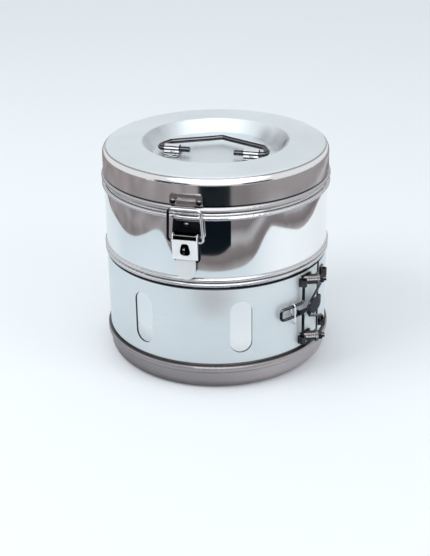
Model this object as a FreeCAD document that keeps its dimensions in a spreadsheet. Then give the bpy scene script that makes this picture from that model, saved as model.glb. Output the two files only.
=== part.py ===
import FreeCAD, Part
import math
import os
import re
import Sketcher

# Sterilizing drum: a spun steel drum with a hinged lid, a draw latch, a folding carrying
# handle and a slotted band that turns round the wall to open or shut the steam vents.
# Millimetres and degrees. The origin is the centre of the base, +Z is up, the latch
# faces -Y and the lid hinge is at +Y. An azimuth is counted from -Y towards +X.

SIZES = {
    # Sheet metal
    "sheet": 0.8,
    "strap": 1.2,
    # Drum wall, base pan and beads
    "wall_radius": 105.0,
    "lower_step": 1.0,
    "neck_step": 2.0,
    "neck_rise": 10.8,
    "mid_bead_level": 104.6,
    "mid_bead_radius": 2.4,
    "mid_bead_pitch": 4.7,
    "upper_wall": 58.9,
    "top_bead_radius": 2.5,
    "bead_sink": 0.5,
    "ridge_proud": 0.25,
    "pan_sheet": 1.0,
    "pan_corner": 8.0,
    "lip_low": 17.5,
    "lip_top": 24.4,
    "lip_reach": 2.8,
    # Lid
    "skirt_step": 0.4,
    "lid_height": 29.5,
    "lid_fall": 1.4,
    "lid_corner": 7.5,
    "rim_width": 37.9,
    "dish_slope": 8.5,
    "dish_depth": 13.1,
    "dish_corner": 3.0,
    "lid_seat": 7.9,
    "lid_bead_radius": 2.3,
    # Vent band
    "band_clearance": 0.3,
    "band_seat": 1.2,
    "band_drop": 3.6,
    "band_gap": 5.0,
    "vent_pitch": 360.0 / 7.0,
    "vent_count": 6,
    "vent_width": 20.3,
    "vent_height": 50.6,
    "vent_level": 62.0,
    # Rivets and pins
    "rivet_radius": 1.3,
    "rivet_head_radius": 2.5,
    "rivet_head": 1.1,
    "rivet_fit": 0.06,
    "pin_fit": 0.06,
    # Lid hinge
    "hinge_reach": 5.8,
    "hinge_rise": 4.2,
    "hinge_pin_radius": 1.5,
    "knuckle_wall": 1.6,
    "knuckle_half": 5.0,
    "knuckle_gap": 0.3,
    "hinge_half_width": 15.0,
    "drum_leaf_height": 23.0,
    "drum_leaf_drop": 5.2,
    "drum_leaf_inset": 7.0,
    "lid_leaf_rise": 5.9,
    "lid_leaf_height": 12.0,
    "lid_leaf_inset": 4.5,
    "hinge_rivet_spread": 9.5,
    "leaf_tuck": 4.5,
    # Handle and its lugs
    "handle_axis": 14.6,
    "handle_lift": 5.6,
    "handle_wire": 2.4,
    "handle_bend": 5.0,
    "handle_end_in": 16.5,
    "lug_in": 12.9,
    "lug_half": 7.0,
    "lug_wall": 2.0,
    "lug_foot": 9.8,
    "lug_taper": 0.6,
    "lug_rivet": 7.0,
    "handle_margin": 8.6,
    "handle_arm_back": 8.5,
    "handle_corner_in": 5.4,
    "handle_corner_back": 20.0,
    "handle_bar_out": 9.0,
    "handle_bar_back": 37.5,
    "handle_peak_back": 42.5,
    # Catch on the lid
    "catch_half_width": 14.4,
    "catch_rise": 3.3,
    "catch_height": 10.4,
    "catch_rivet_spread": 11.6,
    "catch_inset": 3.4,
    "tongue_half_width": 8.8,
    "tongue_reach": 4.0,
    "tongue_lip": 4.2,
    "tongue_root": 1.8,
    "tongue_drop": 2.6,
    "window_low": 4.4,
    "window_top": 7.2,
    # Draw latch on the drum
    "base_half_width": 12.0,
    "base_height": 38.2,
    "base_drop": 3.0,
    "base_inset": 3.8,
    "ear_inner": 9.0,
    "latch_reach": 3.2,
    "latch_pin_drop": 12.8,
    "latch_pin_radius": 1.2,
    "ear_radius": 2.7,
    "lever_sheet": 0.9,
    "lever_side_gap": 0.3,
    "lever_rear_gap": 0.7,
    "lever_depth": 3.6,
    "lever_lean": 1.0,
    "lever_top_drop": 2.5,
    "lever_height": 18.3,
    "tail_half_width": 8.9,
    "tail_length": 19.4,
    "tail_set": 1.3,
    "tail_slope": 1.8,
    "tail_curve": 10.0,
    "tail_flick": 0.5,
    "keyhole_rise": 3.6,
    "keyhole_height": 11.4,
    "keyhole_low_half": 5.5,
    "keyhole_top_half": 3.0,
    "staple_half": 0.9,
    "staple_half_height": 3.1,
    "staple_reach": 3.5,
    "staple_rise": 5.7,
    "bail_drop": 4.8,
    "bail_set": 0.6,
    "bail_wire": 1.2,
    "bail_bend": 3.4,
    "bail_low_out": 15.9,
    "bail_top_out": 14.2,
    "bail_rise": 1.9,
    "bail_clearance": 0.35,
    # Band clamp; its angles are counted from the middle of the split
    "clamp_level": 63.4,
    "post_angle": -13.6,
    "post_heading": 32.9,
    "post_level": 29.1,
    "post_radius": 4.6,
    "post_length": 13.0,
    "collar_radius": 5.6,
    "collar_width": 2.6,
    "nut_radius": 4.4,
    "nut_length": 4.2,
    "stud_end": 2.4,
    "tab_left": 1.6,
    "tab_half_height": 5.6,
    "clamp_knuckle_wall": 1.7,
    "pin_end": 0.9,
    "loop_angle": -17.1,
    "loop_reach": 4.0,
    "loop_arc": 14.3,
    "loop_wire": 1.4,
    "loop_bend": 3.2,
    "loop_sweep_radius": 80.0,
    "loop_level": 67.9,
    "loop_half_height": 5.2,
    "lug_angle": 2.6,
    "lug_level": 26.0,
    "lug_reach": 3.8,
    "lug_height": 7.0,
    "lug_foot_left": 2.0,
    "lug_foot_right": 7.0,
    "yoke_wire": 1.2,
    "yoke_bend": 3.0,
    "yoke_apex_angle": -13.5,
    "yoke_apex_half": 6.0,
    "yoke_rise": 5.6,
    "leaf_angle": -14.9,
    "leaf_level": 66.6,
    "leaf_rise": 7.0,
    "leaf_sheet": 1.0,
    "leaf_nose": 13.7,
    "leaf_nose_half": 2.0,
    "leaf_neck": 0.5,
    "leaf_flare": 6.0,
    "leaf_hook": 2.4,
    "leaf_end": 19.0,
    "leaf_half_height": 8.5,
    "eye_wall": 0.9,
    "eye_half": 3.6,
    "ring_wire": 0.8,
    "ring_play": 0.3,
    "ring_drop": 14.0,
}

# Sizes that the sheet works out from the driving ones
DERIVED = {
    "lower_radius": "wall_radius - lower_step",
    "neck_radius": "wall_radius - neck_step",
    "skirt_radius": "wall_radius + skirt_step",
    "dish_radius": "skirt_radius - rim_width",
    "dish_floor_radius": "dish_radius - dish_slope",
    "band_inner": "lower_radius + band_clearance",
    "band_outer": "band_inner + sheet",
    "through": "wall_radius * 1.2",
    "top_bead_level": "mid_bead_level + mid_bead_pitch + upper_wall",
    "neck_top": "top_bead_level + neck_rise",
    "lid_bead_level": "top_bead_level + lid_seat",
    "lid_top": "lid_bead_level + lid_height",
    "dish_floor": "lid_top - dish_depth",
    "hinge_level": "top_bead_level + hinge_rise",
    "drum_leaf_top": "top_bead_level - drum_leaf_drop",
    "drum_leaf_low": "drum_leaf_top - drum_leaf_height",
    "drum_leaf_rivet": "drum_leaf_low + drum_leaf_inset",
    "lid_leaf_low": "lid_bead_level + lid_leaf_rise",
    "lid_leaf_top": "lid_leaf_low + lid_leaf_height",
    "lid_leaf_rivet": "lid_leaf_top - lid_leaf_inset",
    "catch_low": "lid_bead_level + catch_rise",
    "catch_top": "catch_low + catch_height",
    "catch_rivet_level": "catch_low + catch_inset",
    "base_top": "top_bead_level - base_drop",
    "base_low": "base_top - base_height",
    "base_rivet_top": "base_top - base_inset",
    "base_rivet_low": "base_low + base_inset",
    "latch_pin_level": "base_top - latch_pin_drop",
    "lever_top": "latch_pin_level - lever_top_drop",
    "lever_step": "lever_top - lever_height",
    "tail_low": "lever_step - tail_length",
    "keyhole_low": "lever_step + keyhole_rise",
    "keyhole_top": "keyhole_low + keyhole_height",
    "staple_level": "keyhole_low + staple_rise",
    "bail_level": "latch_pin_level - bail_drop",
    "bail_top": "lid_bead_level + bail_rise",
    "handle_arm_out": "dish_floor_radius - handle_margin",
    "handle_corner_out": "handle_arm_out - handle_corner_in",
    "lug_centre": "handle_arm_out - lug_in",
    "handle_end": "lug_centre - handle_end_in",
    "band_top": "mid_bead_level - band_drop",
    "hinge_axis": "wall_radius + hinge_reach",
    "knuckle_radius": "hinge_pin_radius + knuckle_wall",
}

doc = FreeCAD.newDocument("SterilizingDrum")
sheet = doc.addObject("Spreadsheet::Sheet", "Sizes")
ALIASES = {**{alias: repr(value) for alias, value in SIZES.items()},
           **{alias: "=" + formula for alias, formula in DERIVED.items()}}
for row, (alias, content) in enumerate(ALIASES.items(), start=1):
    sheet.set("A%d" % row, alias)
    sheet.set("B%d" % row, content)
    sheet.setAlias("B%d" % row, alias)
doc.recompute()

X_AXIS = FreeCAD.Vector(1, 0, 0)
Y_AXIS = FreeCAD.Vector(0, 1, 0)
Z_AXIS = FreeCAD.Vector(0, 0, 1)
pieces = []


def bound(expression):
    """Write a formula of plain size names as one that reads them from the sheet."""
    return re.sub(r"[a-z_]+[a-z]",
                  lambda word: "Sizes." + word.group(0) if word.group(0) in ALIASES else word.group(0),
                  str(expression))


def size(expression):
    """Work a formula of size names out as a number."""
    result = sheet.evalExpression(bound(expression))
    return float(getattr(result, "Value", result))


def new_body(label, turn=None):
    """Start a sub-part; turn is its azimuth about the drum's axis."""
    body = doc.addObject("PartDesign::Body", label)
    body.Label = label
    if turn is not None:
        body.Placement = FreeCAD.Placement(FreeCAD.Vector(), FreeCAD.Rotation(Z_AXIS, size(turn)))
        body.setExpression("Placement.Rotation.Angle", bound(turn))
    pieces.append(body)
    return body


def new_sketch(body, plane, turn=None, shift=None):
    """Attach a sketch to one of the body's own origin planes, turned or shifted."""
    sketch = body.newObject("Sketcher::SketchObject", body.Name + "_outline")
    base = [item for item in body.Origin.OriginFeatures if item.Role == plane][0]
    sketch.AttachmentSupport = [(base, "")]
    sketch.MapMode = "FlatFace"
    if turn is not None:
        sketch.AttachmentOffset = FreeCAD.Placement(FreeCAD.Vector(), FreeCAD.Rotation(Y_AXIS, size(turn)))
        sketch.setExpression("AttachmentOffset.Rotation.Angle", bound(turn))
    if shift is not None:
        sketch.AttachmentOffset = FreeCAD.Placement(FreeCAD.Vector(0, 0, size(shift)), FreeCAD.Rotation())
        sketch.setExpression("AttachmentOffset.Base.z", bound(shift))
    return sketch


def bind(sketch, constraint, formula):
    """Add a constraint whose value follows a formula of the sheet's sizes."""
    index = sketch.addConstraint(constraint)
    sketch.setExpression("Constraints[%d]" % index, bound(formula))


def pin_point(sketch, geometry, end, x, y):
    """Hold a point at coordinates that follow the sheet."""
    bind(sketch, Sketcher.Constraint("DistanceX", -1, 1, geometry, end, size(x)), x)
    bind(sketch, Sketcher.Constraint("DistanceY", -1, 1, geometry, end, size(y)), y)


def circle(sketch, x, y, radius):
    """Draw a circle whose centre and radius follow the sheet."""
    centre = FreeCAD.Vector(size(x), size(y), 0)
    index = sketch.addGeometry(Part.Circle(centre, Z_AXIS, size(radius)))
    pin_point(sketch, index, 3, x, y)
    bind(sketch, Sketcher.Constraint("Radius", index, size(radius)), radius)


def corner_arc(before, corner, after, radius):
    """Return the tangent arc at a corner, and whether it runs from before to after."""
    arrive = (corner - before).normalize()
    leave = (after - corner).normalize()
    turn = arrive.getAngle(leave)
    reach = radius * math.tan(turn / 2)
    side = arrive.cross(leave).z
    inward = FreeCAD.Vector(-arrive.y, arrive.x, 0) * math.copysign(1, side)
    start = corner - arrive * reach
    end = corner + leave * reach
    centre = start + inward * radius
    first = math.atan2(start.y - centre.y, start.x - centre.x)
    last = math.atan2(end.y - centre.y, end.x - centre.x)
    ends = (first, last) if side > 0 else (last, first)
    arc = Part.ArcOfCircle(Part.Circle(centre, Z_AXIS, radius), *ends)
    return arc, start, end, side > 0


def outline(sketch, corners):
    """Draw a closed outline; a corner is (x, y) or (x, y, radius), each a formula."""
    points = [FreeCAD.Vector(size(corner[0]), size(corner[1]), 0) for corner in corners]
    count = len(corners)
    arcs = {}
    for i, corner in enumerate(corners):
        if len(corner) == 3:
            arcs[i] = corner_arc(points[i - 1], points[i], points[(i + 1) % count], size(corner[2]))
    lines = []
    for i in range(count):
        start = arcs[i][2] if i in arcs else points[i]
        following = (i + 1) % count
        end = arcs[following][1] if following in arcs else points[following]
        lines.append(sketch.addGeometry(Part.LineSegment(start, end)))
    for i, corner in enumerate(corners):
        arriving, leaving = lines[i - 1], lines[i]
        if i not in arcs:
            sketch.addConstraint(Sketcher.Constraint("Coincident", arriving, 2, leaving, 1))
            pin_point(sketch, leaving, 1, corner[0], corner[1])
            continue
        arc, start, end, forward = arcs[i]
        bend = sketch.addGeometry(arc)
        mark = sketch.addGeometry(Part.Point(points[i]), True)
        pin_point(sketch, mark, 1, corner[0], corner[1])
        sketch.addConstraint(Sketcher.Constraint("PointOnObject", mark, 1, arriving))
        sketch.addConstraint(Sketcher.Constraint("PointOnObject", mark, 1, leaving))
        sketch.addConstraint(Sketcher.Constraint("Tangent", arriving, 2, bend, 1 if forward else 2))
        sketch.addConstraint(Sketcher.Constraint("Tangent", leaving, 1, bend, 2 if forward else 1))
        bind(sketch, Sketcher.Constraint("Radius", bend, size(corner[2])), corner[2])


def spin(body, sketch, cut=False):
    """Turn a sketch once round the drum's axis, as metal or as a cut."""
    kind = "PartDesign::Groove" if cut else "PartDesign::Revolution"
    feature = body.newObject(kind, body.Name + "_turned")
    feature.Profile = sketch
    feature.ReferenceAxis = (sketch, ["V_Axis"])
    feature.Angle = 360.0
    return feature


def pad(body, sketch, length, both_sides=False, reverse=False):
    """Raise a sketch by a length that follows the sheet."""
    feature = body.newObject("PartDesign::Pad", body.Name + "_pad")
    feature.Profile = sketch
    feature.setExpression("Length", bound(length))
    feature.Midplane = both_sides
    feature.Reversed = reverse
    return feature


def pocket(body, sketch, length, both_sides=False, reverse=False):
    """Cut a sketch away to a depth that follows the sheet."""
    feature = body.newObject("PartDesign::Pocket", body.Name + "_cut")
    feature.Profile = sketch
    feature.setExpression("Length", bound(length))
    feature.Midplane = both_sides
    feature.Reversed = reverse
    return feature


def rivet_holes(body, places, front, turn=None):
    """Drill the wall towards -Y (front) or +Y at each (x, z) place."""
    sketch = new_sketch(body, "XZ_Plane", turn)
    for x, z in places:
        circle(sketch, x, z, "rivet_radius + rivet_fit")
    return pocket(body, sketch, "through", reverse=front)


def bent_wire(points, bends, radius):
    """Sweep a round wire along straight runs joined by tangent arcs, one bend or one each."""
    edges = []
    start = points[0]
    if not isinstance(bends, list):
        bends = [bends] * (len(points) - 2)
    for before, corner, after, bend in zip(points, points[1:], points[2:], bends):
        arrive = (corner - before).normalize()
        leave = (after - corner).normalize()
        turn = arrive.getAngle(leave)
        reach = bend * math.tan(turn / 2)
        inward = (leave - arrive).normalize()
        middle = corner + inward * (bend / math.cos(turn / 2) - bend)
        first = corner - arrive * reach
        last = corner + leave * reach
        edges.append(Part.LineSegment(start, first).toShape())
        edges.append(Part.Arc(first, middle, last).toShape())
        start = last
    edges.append(Part.LineSegment(start, points[-1]).toShape())
    path = Part.Wire(edges)
    ring = Part.Wire([Part.makeCircle(radius, points[0], points[1] - points[0])])
    return path.makePipeShell([ring], True, False)


def free_piece(label, shape, turn=None):
    """Keep a bent wire or a group of rivets as a sub-part of its own."""
    item = doc.addObject("Part::Feature", label)
    item.Label = label
    item.Shape = shape
    if turn is not None:
        item.Placement = FreeCAD.Placement(FreeCAD.Vector(), FreeCAD.Rotation(Z_AXIS, size(turn)))
    pieces.append(item)
    return item


def rivet(outer, outward, grip):
    """One rivet: domed head on the outside, shank through the metal, flat head inside."""
    radius = size("rivet_radius")
    head = size("rivet_head_radius")
    rise = size("rivet_head")
    dome_radius = (head ** 2 + rise ** 2) / (2 * rise)
    ball = Part.makeSphere(dome_radius, outer + outward * (rise - dome_radius))
    dome = ball.common(Part.makeCylinder(head, rise, outer, outward))
    shank = Part.makeCylinder(radius, grip, outer, outward * -1)
    back = Part.makeCylinder(head * 0.8, rise / 2, outer - outward * grip, outward * -1)
    return dome.fuse([shank, back]).removeSplitter()


def rivet_group(label, places, face, outward):
    """Rivets at (x, z) places on a face of the round wall, long enough to clear its curve."""
    grip = "strap + sheet + (" + places[-1][0] + " + rivet_head_radius) ^ 2 / (2 * wall_radius)"
    solids = [rivet(FreeCAD.Vector(size(x), 0, size(z)) + outward * size(face), outward, size(grip))
              for x, z in places]
    return free_piece(label, Part.makeCompound(solids))


def seat_on_wall(body, radius):
    """Cut the back of a pressed plate to the round wall that it lies on."""
    sketch = new_sketch(body, "XY_Plane")
    circle(sketch, "0", "0", radius)
    return pocket(body, sketch, "through * 4", both_sides=True)


VENT = [
    ("-vent_width / 2", "vent_level - vent_height / 2", "vent_width * 0.49"),
    ("vent_width / 2", "vent_level - vent_height / 2", "vent_width * 0.49"),
    ("vent_width / 2", "vent_level + vent_height / 2", "vent_width * 0.49"),
    ("-vent_width / 2", "vent_level + vent_height / 2", "vent_width * 0.49"),
]


def vent_row(body, turn=None):
    """Cut the steam vents, one pitch apart, leaving one place without a vent."""
    sketch = new_sketch(body, "XZ_Plane", turn)
    outline(sketch, VENT)
    first = pocket(body, sketch, "through", reverse=True)
    doc.recompute()
    row = body.newObject("PartDesign::PolarPattern", body.Name + "_vents")
    row.Originals = [first]
    row.Axis = (sketch, ["V_Axis"])
    row.setExpression("Angle", bound("vent_pitch * (vent_count - 1)"))
    row.setExpression("Occurrences", bound("vent_count"))
    body.Tip = row
    return row


FRONT = Y_AXIS * -1
REAR = Y_AXIS

# Drum shell: upper wall, necked lower wall, pressed beads, and the neck inside the lid
drum = new_body("drum_shell", "vent_pitch * 3")
profile = new_sketch(drum, "XZ_Plane")
outline(profile, [
    ("lower_radius", "pan_corner + pan_sheet"),
    ("lower_radius", "mid_bead_level"),
    ("wall_radius", "mid_bead_level + mid_bead_pitch"),
    ("wall_radius", "top_bead_level + top_bead_radius * 0.6"),
    ("neck_radius", "top_bead_level + top_bead_radius * 0.6 + sheet", "0.5"),
    ("neck_radius", "neck_top"),
    ("neck_radius - sheet", "neck_top"),
    ("neck_radius - sheet", "top_bead_level + top_bead_radius * 0.6"),
    ("wall_radius - sheet", "top_bead_level + top_bead_radius * 0.6 - sheet"),
    ("wall_radius - sheet", "mid_bead_level + mid_bead_pitch"),
    ("lower_radius - sheet", "mid_bead_level"),
    ("lower_radius - sheet", "pan_corner + pan_sheet"),
])
spin(drum, profile)
beads = new_sketch(drum, "XZ_Plane")
circle(beads, "wall_radius - bead_sink", "top_bead_level", "top_bead_radius")
spin(drum, beads)
ridges = new_sketch(drum, "XZ_Plane")
circle(ridges, "lower_radius + ridge_proud", "mid_bead_level", "mid_bead_radius")
spin(drum, ridges)
upper_ridge = new_sketch(drum, "XZ_Plane")
circle(upper_ridge, "lower_radius + ridge_proud", "mid_bead_level + mid_bead_pitch", "mid_bead_radius")
spin(drum, upper_ridge)
for level, rim, hollow in [("mid_bead_level", "lower_radius", "mid_bead_radius - sheet"),
                           ("mid_bead_level + mid_bead_pitch", "lower_radius", "mid_bead_radius - sheet"),
                           ("top_bead_level", "wall_radius - bead_sink", "top_bead_radius - sheet")]:
    groove = new_sketch(drum, "XZ_Plane")
    outline(groove, [
        (rim + " - top_bead_radius * 2", level + " - (" + hollow + ")"),
        (rim, level + " - (" + hollow + ")"),
        (rim + " + (" + hollow + ") * 0.8", level + " - (" + hollow + ") * 0.4"),
        (rim + " + (" + hollow + ") * 0.8", level + " + (" + hollow + ") * 0.4"),
        (rim, level + " + (" + hollow + ")"),
        (rim + " - top_bead_radius * 2", level + " + (" + hollow + ")"),
    ])
    spin(drum, groove, cut=True)

vent_row(drum)
DRUM_HINGE_RIVETS = [("-hinge_rivet_spread", "drum_leaf_rivet"), ("hinge_rivet_spread", "drum_leaf_rivet")]
LID_HINGE_RIVETS = [("-hinge_rivet_spread", "lid_leaf_rivet"), ("hinge_rivet_spread", "lid_leaf_rivet")]
LATCH_RIVETS = [("0", "base_rivet_top"), ("0", "base_rivet_low")]
CATCH_RIVETS = [("-catch_rivet_spread", "catch_rivet_level"), ("catch_rivet_spread", "catch_rivet_level")]
UNTURN = "0 - vent_pitch * 3"
rivet_holes(drum, DRUM_HINGE_RIVETS, False, UNTURN)
rivet_holes(drum, LATCH_RIVETS, True, UNTURN)

# Base pan: flat bottom, rounded corner and a thick turned lip round the wall's foot
PAN = "lower_radius + pan_sheet"
pan = new_body("base_pan")
profile = new_sketch(pan, "XZ_Plane")
outline(profile, [
    ("0", "0"),
    (PAN, "0", "pan_corner"),
    (PAN, "lip_low", "0.8"),
    (PAN + " + lip_reach", "lip_low", "1.6"),
    (PAN + " + lip_reach", "lip_top", "2.2"),
    ("lower_radius", "lip_top"),
    ("lower_radius", "pan_sheet", "pan_corner - pan_sheet"),
    ("0", "pan_sheet"),
])
spin(pan, profile)

# Vent band: a split slotted hoop that turns round the lower wall
CLAMP = "vent_pitch * 1.5"
band = new_body("vent_band", CLAMP)
profile = new_sketch(band, "XZ_Plane")
outline(profile, [
    ("band_inner", "lip_top + band_seat"),
    ("band_outer", "lip_top + band_seat"),
    ("band_outer", "band_top"),
    ("band_inner", "band_top"),
])
spin(band, profile)
vent_row(band, "vent_pitch")
split = new_sketch(band, "XZ_Plane")
outline(split, [
    ("-band_gap / 2", "lip_low"),
    ("band_gap / 2", "lip_low"),
    ("band_gap / 2", "mid_bead_level"),
    ("-band_gap / 2", "mid_bead_level"),
])
pocket(band, split, "through", reverse=True)

# Lid: pressed shell with a sunk dish, rounded shoulder, skirt and rolled bead
lid = new_body("lid_shell")
profile = new_sketch(lid, "XZ_Plane")
outline(profile, [
    ("0", "dish_floor - sheet"),
    ("dish_floor_radius + sheet / 2", "dish_floor - sheet", "dish_corner + sheet"),
    ("dish_radius + sheet / 2", "lid_top - sheet", "dish_corner"),
    ("skirt_radius - sheet", "lid_top - lid_fall - sheet", "lid_corner - sheet"),
    ("skirt_radius - sheet", "lid_bead_level"),
    ("skirt_radius", "lid_bead_level"),
    ("skirt_radius", "lid_top - lid_fall", "lid_corner"),
    ("dish_radius", "lid_top", "dish_corner + sheet"),
    ("dish_floor_radius", "dish_floor", "dish_corner"),
    ("0", "dish_floor"),
])
spin(lid, profile)
bead = new_sketch(lid, "XZ_Plane")
circle(bead, "skirt_radius - bead_sink", "lid_bead_level", "lid_bead_radius")
spin(lid, bead)
bead_inside = new_sketch(lid, "XZ_Plane")
outline(bead_inside, [
    ("skirt_radius - sheet - lid_bead_radius * 2", "lid_bead_level - lid_bead_radius * 2"),
    ("skirt_radius - sheet", "lid_bead_level - lid_bead_radius * 2"),
    ("skirt_radius - sheet", "lid_bead_level + lid_bead_radius * 2"),
    ("skirt_radius - sheet - lid_bead_radius * 2", "lid_bead_level + lid_bead_radius * 2"),
])
spin(lid, bead_inside, cut=True)
rivet_holes(lid, LID_HINGE_RIVETS, False)
rivet_holes(lid, CATCH_RIVETS, True)
LUG_RIVETS = [(side + "lug_centre", "-handle_axis" + offset)
              for side in ("-", "") for offset in (" - lug_rivet", " + lug_rivet")]
floor_holes = new_sketch(lid, "XY_Plane")
for x, y in LUG_RIVETS:
    circle(floor_holes, x, y, "rivet_radius + rivet_fit")
pocket(lid, floor_holes, "lid_top * 3", both_sides=True)


def hinge_leaf(label, low, top, metal, corner):
    """A hinge leaf: a plate pressed to the wall and straps rolled into knuckles."""
    body = new_body(label)
    plate = new_sketch(body, "XZ_Plane")
    outline(plate, [
        ("-hinge_half_width", low, corner[0]),
        ("hinge_half_width", low, corner[0]),
        ("hinge_half_width", top, corner[1]),
        ("-hinge_half_width", top, corner[1]),
    ])
    pad(body, plate, metal + " + strap", reverse=True)
    seat_on_wall(body, metal)
    return body


STRAP_IN = "hinge_axis - knuckle_radius"

drum_leaf = hinge_leaf("drum_hinge_leaf", "drum_leaf_low", "drum_leaf_top", "wall_radius", ("4", "1"))
strap = new_sketch(drum_leaf, "YZ_Plane")
outline(strap, [
    ("wall_radius", "drum_leaf_top - leaf_tuck"),
    ("wall_radius + strap", "drum_leaf_top - leaf_tuck"),
    ("wall_radius + strap", "drum_leaf_top - strap", "2"),
    (STRAP_IN + " + strap", "drum_leaf_top + strap * 2", "2"),
    (STRAP_IN + " + strap", "hinge_level"),
    (STRAP_IN, "hinge_level"),
    (STRAP_IN, "drum_leaf_top + strap * 2", "1"),
    ("wall_radius", "drum_leaf_top - strap"),
])
pad(drum_leaf, strap, "hinge_half_width * 2", both_sides=True)
knuckle = new_sketch(drum_leaf, "YZ_Plane")
circle(knuckle, "hinge_axis", "hinge_level", "knuckle_radius")
pad(drum_leaf, knuckle, "hinge_half_width * 2", both_sides=True)
notch = new_sketch(drum_leaf, "YZ_Plane")
outline(notch, [
    ("neck_radius", "drum_leaf_top"),
    ("hinge_axis + knuckle_radius * 2", "drum_leaf_top"),
    ("hinge_axis + knuckle_radius * 2", "hinge_level + knuckle_radius * 2"),
    ("neck_radius", "hinge_level + knuckle_radius * 2"),
])
pocket(drum_leaf, notch, "(knuckle_half + knuckle_gap) * 2", both_sides=True)
bore = new_sketch(drum_leaf, "YZ_Plane")
circle(bore, "hinge_axis", "hinge_level", "hinge_pin_radius")
pocket(drum_leaf, bore, "hinge_half_width * 3", both_sides=True)
rivet_holes(drum_leaf, DRUM_HINGE_RIVETS, False)

lid_leaf = hinge_leaf("lid_hinge_leaf", "lid_leaf_low", "lid_leaf_top", "skirt_radius", ("1", "4"))
strap = new_sketch(lid_leaf, "YZ_Plane")
outline(strap, [
    ("skirt_radius", "lid_leaf_low + leaf_tuck"),
    ("skirt_radius", "lid_leaf_low + strap"),
    (STRAP_IN, "lid_leaf_low - strap * 2", "1"),
    (STRAP_IN, "hinge_level"),
    (STRAP_IN + " + strap", "hinge_level"),
    (STRAP_IN + " + strap", "lid_leaf_low - strap * 1.5", "2"),
    ("skirt_radius + strap", "lid_leaf_low + strap * 2", "2"),
    ("skirt_radius + strap", "lid_leaf_low + leaf_tuck"),
])
pad(lid_leaf, strap, "knuckle_half * 2", both_sides=True)
knuckle = new_sketch(lid_leaf, "YZ_Plane")
circle(knuckle, "hinge_axis", "hinge_level", "knuckle_radius")
pad(lid_leaf, knuckle, "knuckle_half * 2", both_sides=True)
bore = new_sketch(lid_leaf, "YZ_Plane")
circle(bore, "hinge_axis", "hinge_level", "hinge_pin_radius + pin_fit")
pocket(lid_leaf, bore, "hinge_half_width * 3", both_sides=True)
rivet_holes(lid_leaf, LID_HINGE_RIVETS, False)

hinge_pin = new_body("hinge_pin")
round_bar = new_sketch(hinge_pin, "YZ_Plane")
circle(round_bar, "hinge_axis", "hinge_level", "hinge_pin_radius")
pad(hinge_pin, round_bar, "(hinge_half_width + pin_end) * 2", both_sides=True)
rivet_group("drum_hinge_rivets", DRUM_HINGE_RIVETS, "wall_radius + strap", REAR)
rivet_group("lid_hinge_rivets", LID_HINGE_RIVETS, "skirt_radius + strap", REAR)

# Carrying handle: a bent wire that folds flat into the dish, held by two rolled lugs
AXIS_Z = "dish_floor + handle_lift"
for label, side in [("handle_lug_left", "-"), ("handle_lug_right", "")]:
    lug = new_body(label)
    strap = new_sketch(lug, "YZ_Plane", shift=side + "lug_centre")
    outline(strap, [
        ("-handle_axis - lug_foot", "dish_floor"),
        ("-handle_axis + lug_foot", "dish_floor"),
        ("-handle_axis + lug_foot", "dish_floor + strap", "0.5"),
        ("-handle_axis + handle_wire + lug_wall - lug_taper", "dish_floor + strap", "lug_taper"),
        ("-handle_axis + handle_wire + lug_wall - lug_taper * 2", AXIS_Z),
        ("-handle_axis - handle_wire - lug_wall + lug_taper * 2", AXIS_Z),
        ("-handle_axis - handle_wire - lug_wall + lug_taper", "dish_floor + strap", "lug_taper"),
        ("-handle_axis - lug_foot", "dish_floor + strap", "0.5"),
    ])
    pad(lug, strap, "lug_half * 2", both_sides=True)
    barrel = new_sketch(lug, "YZ_Plane", shift=side + "lug_centre")
    circle(barrel, "-handle_axis", AXIS_Z, "handle_wire + lug_wall")
    pad(lug, barrel, "lug_half * 2", both_sides=True)
    bore = new_sketch(lug, "YZ_Plane", shift=side + "lug_centre")
    circle(bore, "-handle_axis", AXIS_Z, "handle_wire + pin_fit")
    pocket(lug, bore, "lug_half * 3", both_sides=True)
    holes = new_sketch(lug, "XY_Plane")
    for offset in (" - lug_rivet", " + lug_rivet"):
        circle(holes, side + "lug_centre", "-handle_axis" + offset, "rivet_radius + rivet_fit")
    pocket(lug, holes, "lid_top * 3", both_sides=True)

lug_grip = size("strap + sheet")
lug_rivets = [rivet(FreeCAD.Vector(size(x), size(y), size("dish_floor + strap")), Z_AXIS, lug_grip)
              for x, y in LUG_RIVETS]
free_piece("handle_lug_rivets", Part.makeCompound(lug_rivets))

HALF_HANDLE = [
    ("handle_end", "0"),
    ("handle_arm_out", "0"),
    ("handle_arm_out", "handle_arm_back"),
    ("handle_corner_out", "handle_corner_back"),
    ("handle_bar_out", "handle_bar_back"),
]
right_half = [FreeCAD.Vector(size(x), size(back + " - handle_axis"), size(AXIS_Z)) for x, back in HALF_HANDLE]
peak = FreeCAD.Vector(0, size("handle_peak_back - handle_axis"), size(AXIS_Z))
left_half = [FreeCAD.Vector(-point.x, point.y, point.z) for point in reversed(right_half)]
free_piece("handle", bent_wire(right_half + [peak] + left_half, size("handle_bend"), size("handle_wire")))

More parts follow.
